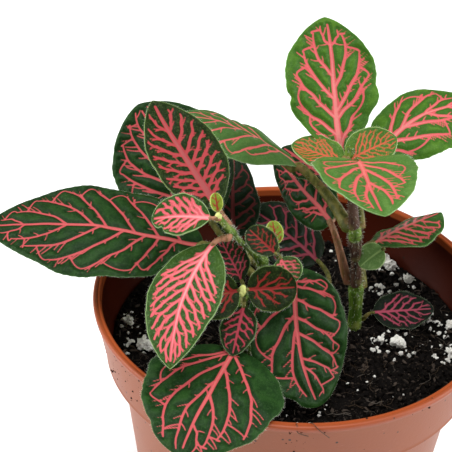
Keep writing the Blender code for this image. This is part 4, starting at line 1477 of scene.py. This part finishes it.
def thickened(shape):
    """The sheet made solid, with its back in the second material."""
    # Solidify needs slots to count on; the finished piece fills them with its own looks.
    sheet = as_object("sheet", as_mesh("sheet", shape, [under_look] * 3))
    thick = sheet.modifiers.new("thickness", "SOLIDIFY")
    thick.thickness = BLADE_THICKNESS * MM
    thick.offset = -1
    thick.material_offset = 1
    thick.material_offset_rim = 0
    return modified(sheet)


def stalk_route(leaf):
    """The stalk from the stem to the blade, and on under the midrib, with its radii."""
    root, base = Vector(leaf.root), Vector(leaf.base)
    forward = Vector(leaf_axes(leaf, np.array([0.0]))[0][0])
    bend = base - forward * (base - root).length * leaf.stalk_bend
    heart = min(stem_points, key=lambda point: (point / MM - root).length) / MM
    route, radii = [heart], [leaf.stalk]
    for share in np.linspace(0, 1, STALK_POINTS):
        route.append(root * (1 - share) ** 2 + bend * 2 * share * (1 - share) + base * share**2)
        radii.append(leaf.stalk * (1.3 - 0.45 * min(share * 1.6, 1)))
    along = np.linspace(0.03, 0.8, 16)
    normal = leaf_axes(leaf, along)[2]
    sunk = leaf.stalk * (1 - along) ** 1.2
    under = blade(leaf, along, spine_shift(leaf, along)) - normal * (RIB_DEPTH + sunk)[:, None]
    route += [Vector(point) for point in under]
    radii += [max(radius, 0.14) for radius in sunk]
    return [point * MM for point in route], [radius * MM for radius in radii]


def note_margin_hairs(leaf, rng):
    """Notes where hairs stand off the blade's margin: root, direction and length."""
    for side in (1, -1):
        marks = np.linspace(0.04, 0.985, int(leaf.length * MARGIN_HAIRS))
        edge_points = blade(leaf, marks, np.full(len(marks), float(side)))
        inner_points = blade(leaf, marks, np.full(len(marks), side * 0.9))
        for outer, inner in zip(edge_points, inner_points):
            out = Vector(outer) - Vector(inner)
            if out.length < 1e-4:
                continue
            jitter = Vector((rng.uniform(-1, 1), rng.uniform(-1, 1), rng.uniform(-1, 1))) * 0.35
            lean = (out.normalized() + jitter).normalized()
            margin_hairs.append((Vector(outer) * MM, lean, rng.uniform(0.3, 0.62) * MM))


PINK_STALKS = (
    "leaf_tall_upright", "leaf_tall_low_left", "leaf_left_upright_young", "leaf_left_front_pink",
    "leaf_left_tip",
)
margin_hairs = []

for leaf in LEAVES:
    shape = thickened(blade_grid(leaf))
    route, radii = stalk_route(leaf)
    tube(shape, route, radii, material=2)
    stalk = pink_stalk_look if leaf.name in PINK_STALKS else stalk_look
    piece(
        f"{leaf.name}_blade", shape, [leaf_looks[leaf.skin], under_look, stalk],
        [leaf.name] if leaf.name in slots else [],
    )
    rng = random.Random(leaf.name + "hairs")
    grow_hairs(route[1:STALK_POINTS + 1], radii[1:STALK_POINTS + 1], 5, 0.6, rng)
    note_margin_hairs(leaf, rng)
print("hairs on margins:", len(margin_hairs))

# %% [markdown]
# ## Shoot tips
# Between the smallest leaves sits the growing tip, a pale bead of folded leaves too small to make
# out. A little lump is enough, stood upright and stamped at three places.

# %% Shoot tips
HEARTS = (((-12.3, -22.9, 105.0), 0.9), ((-12.5, -23.2, 104.2), 0.7), ((-19.2, -21.2, 124.5), 0.8))

heart = bmesh.new()
for number, (spot, size) in enumerate(HEARTS):
    stretched = Matrix.Diagonal((size * MM, size * MM, 1.5 * size * MM, 1))
    place = Matrix.Translation(Vector(spot) * MM) @ stretched
    stamp(heart, lumpy(3, 0.25, number, 1.0), [place])
heart_look = make_plain_look("shoot_tip", tint(150, 164, 60), tint(226, 228, 150), 500.0, 0.5)
piece("shoot_tips", heart, [heart_look])

# %% [markdown]
# ## Hairs
# Under a lens the whole plant is covered with short white hairs. Those on stems, stalks and leaf
# margins catch the light and soften the outline. Thousands are needed, so each is a three-sided
# spike, stamped at the places noted while the stems and leaves were made.

# %% Hairs
def spike():
    """A unit hair along +Z: a slim three-sided cone."""
    shape = bmesh.new()
    bmesh.ops.create_cone(
        shape, cap_ends=True, segments=3, radius1=0.045, radius2=0.008, depth=1,
        matrix=Matrix.Translation((0, 0, 0.45)),
    )
    return as_mesh("hair", shape)


hair_look = make_plain_look("plant_hair", tint(196, 204, 180), tint(240, 242, 228), 60.0, 0.5)
hair_spike = spike()
for name, roots, slot in (
    ("stem_hairs", hair_roots, "stem_green"), ("margin_hairs", margin_hairs, "leaf_old")
):
    hairs = bmesh.new()
    places = [sized(root, UP.rotation_difference(lean), length) for root, lean, length in roots]
    stamp(hairs, hair_spike, places)
    piece(name, hairs, [hair_look])

# %% [markdown]
# ## Light and floor
# A product shot of a plant uses big soft lights and a white surround, so that the shadows between
# the leaves stay soft and the background is nearly white. Two large panels light the pot from the
# left and the right, which leaves its front a little darker. A sun with a wide disc lights the
# leaves from above, and it keeps the far floor as white as the near floor.

# %% Floor, world and lights
FLOOR_SIZE = 6.0
WORLD_POWER = 0.22  # as light; the camera sees it at full white
PANEL_SIZE = 0.6
PANEL_POWER = 7.8
PANEL_AIM = Vector((0, 0, 0.09))
SUN_POWER = 2.9
SUN_WIDTH = math.radians(55)

floor_shape = bmesh.new()
bmesh.ops.create_grid(floor_shape, x_segments=8, y_segments=8, size=FLOOR_SIZE / 2)
floor_look, _, floor_shader = start_material("floor", roughness=0.9, specular=0.1)
floor_shader.inputs["Base Color"].default_value = (0.9, 0.9, 0.9, 1)
as_object("floor", as_mesh("floor", floor_shape, [floor_look]))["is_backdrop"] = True

world = bpy.data.worlds.new("studio")
world.use_nodes = True
backdrop = world.node_tree.nodes["Background"]
seen = add(world.node_tree, "LightPath").outputs["Is Camera Ray"]
glow = spread(world.node_tree, seen, WORLD_POWER, 1.0)
world.node_tree.links.new(glow, backdrop.inputs["Strength"])
backdrop.inputs["Color"].default_value = (1, 1, 1, 1)
bpy.context.scene.world = world

for name, side in (("panel_left", -1), ("panel_right", 1)):
    light = bpy.data.lights.new(name, "AREA")
    light.shape = "SQUARE"
    light.size = PANEL_SIZE
    light.energy = PANEL_POWER
    place = Vector((side * 0.85, -0.05, 0.45))
    aim = (PANEL_AIM - place).to_track_quat("-Z", "Y").to_matrix().to_4x4()
    as_object(name, light).matrix_world = Matrix.Translation(place) @ aim
overhead = bpy.data.lights.new("overhead", "SUN")
overhead.energy = SUN_POWER
overhead.angle = SUN_WIDTH
as_object("overhead", overhead).rotation_euler = (math.radians(6), math.radians(-4), 0)
bpy.context.scene.view_settings.view_transform = "Standard"

# %% [markdown]
# The finished plant is meant to keep the CAD model's size, apart from hairs and ripples. The
# sizes of both boxes are printed.

# %% Sizes
visual_low, visual_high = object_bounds()
sizes = {
    "cad": [list(cad_low), list(cad_high)],
    "visual": [list(visual_low), list(visual_high)],
}
for low, high in sizes.values():
    print([round((top - bottom) / MM, 1) for bottom, top in zip(low, high)])
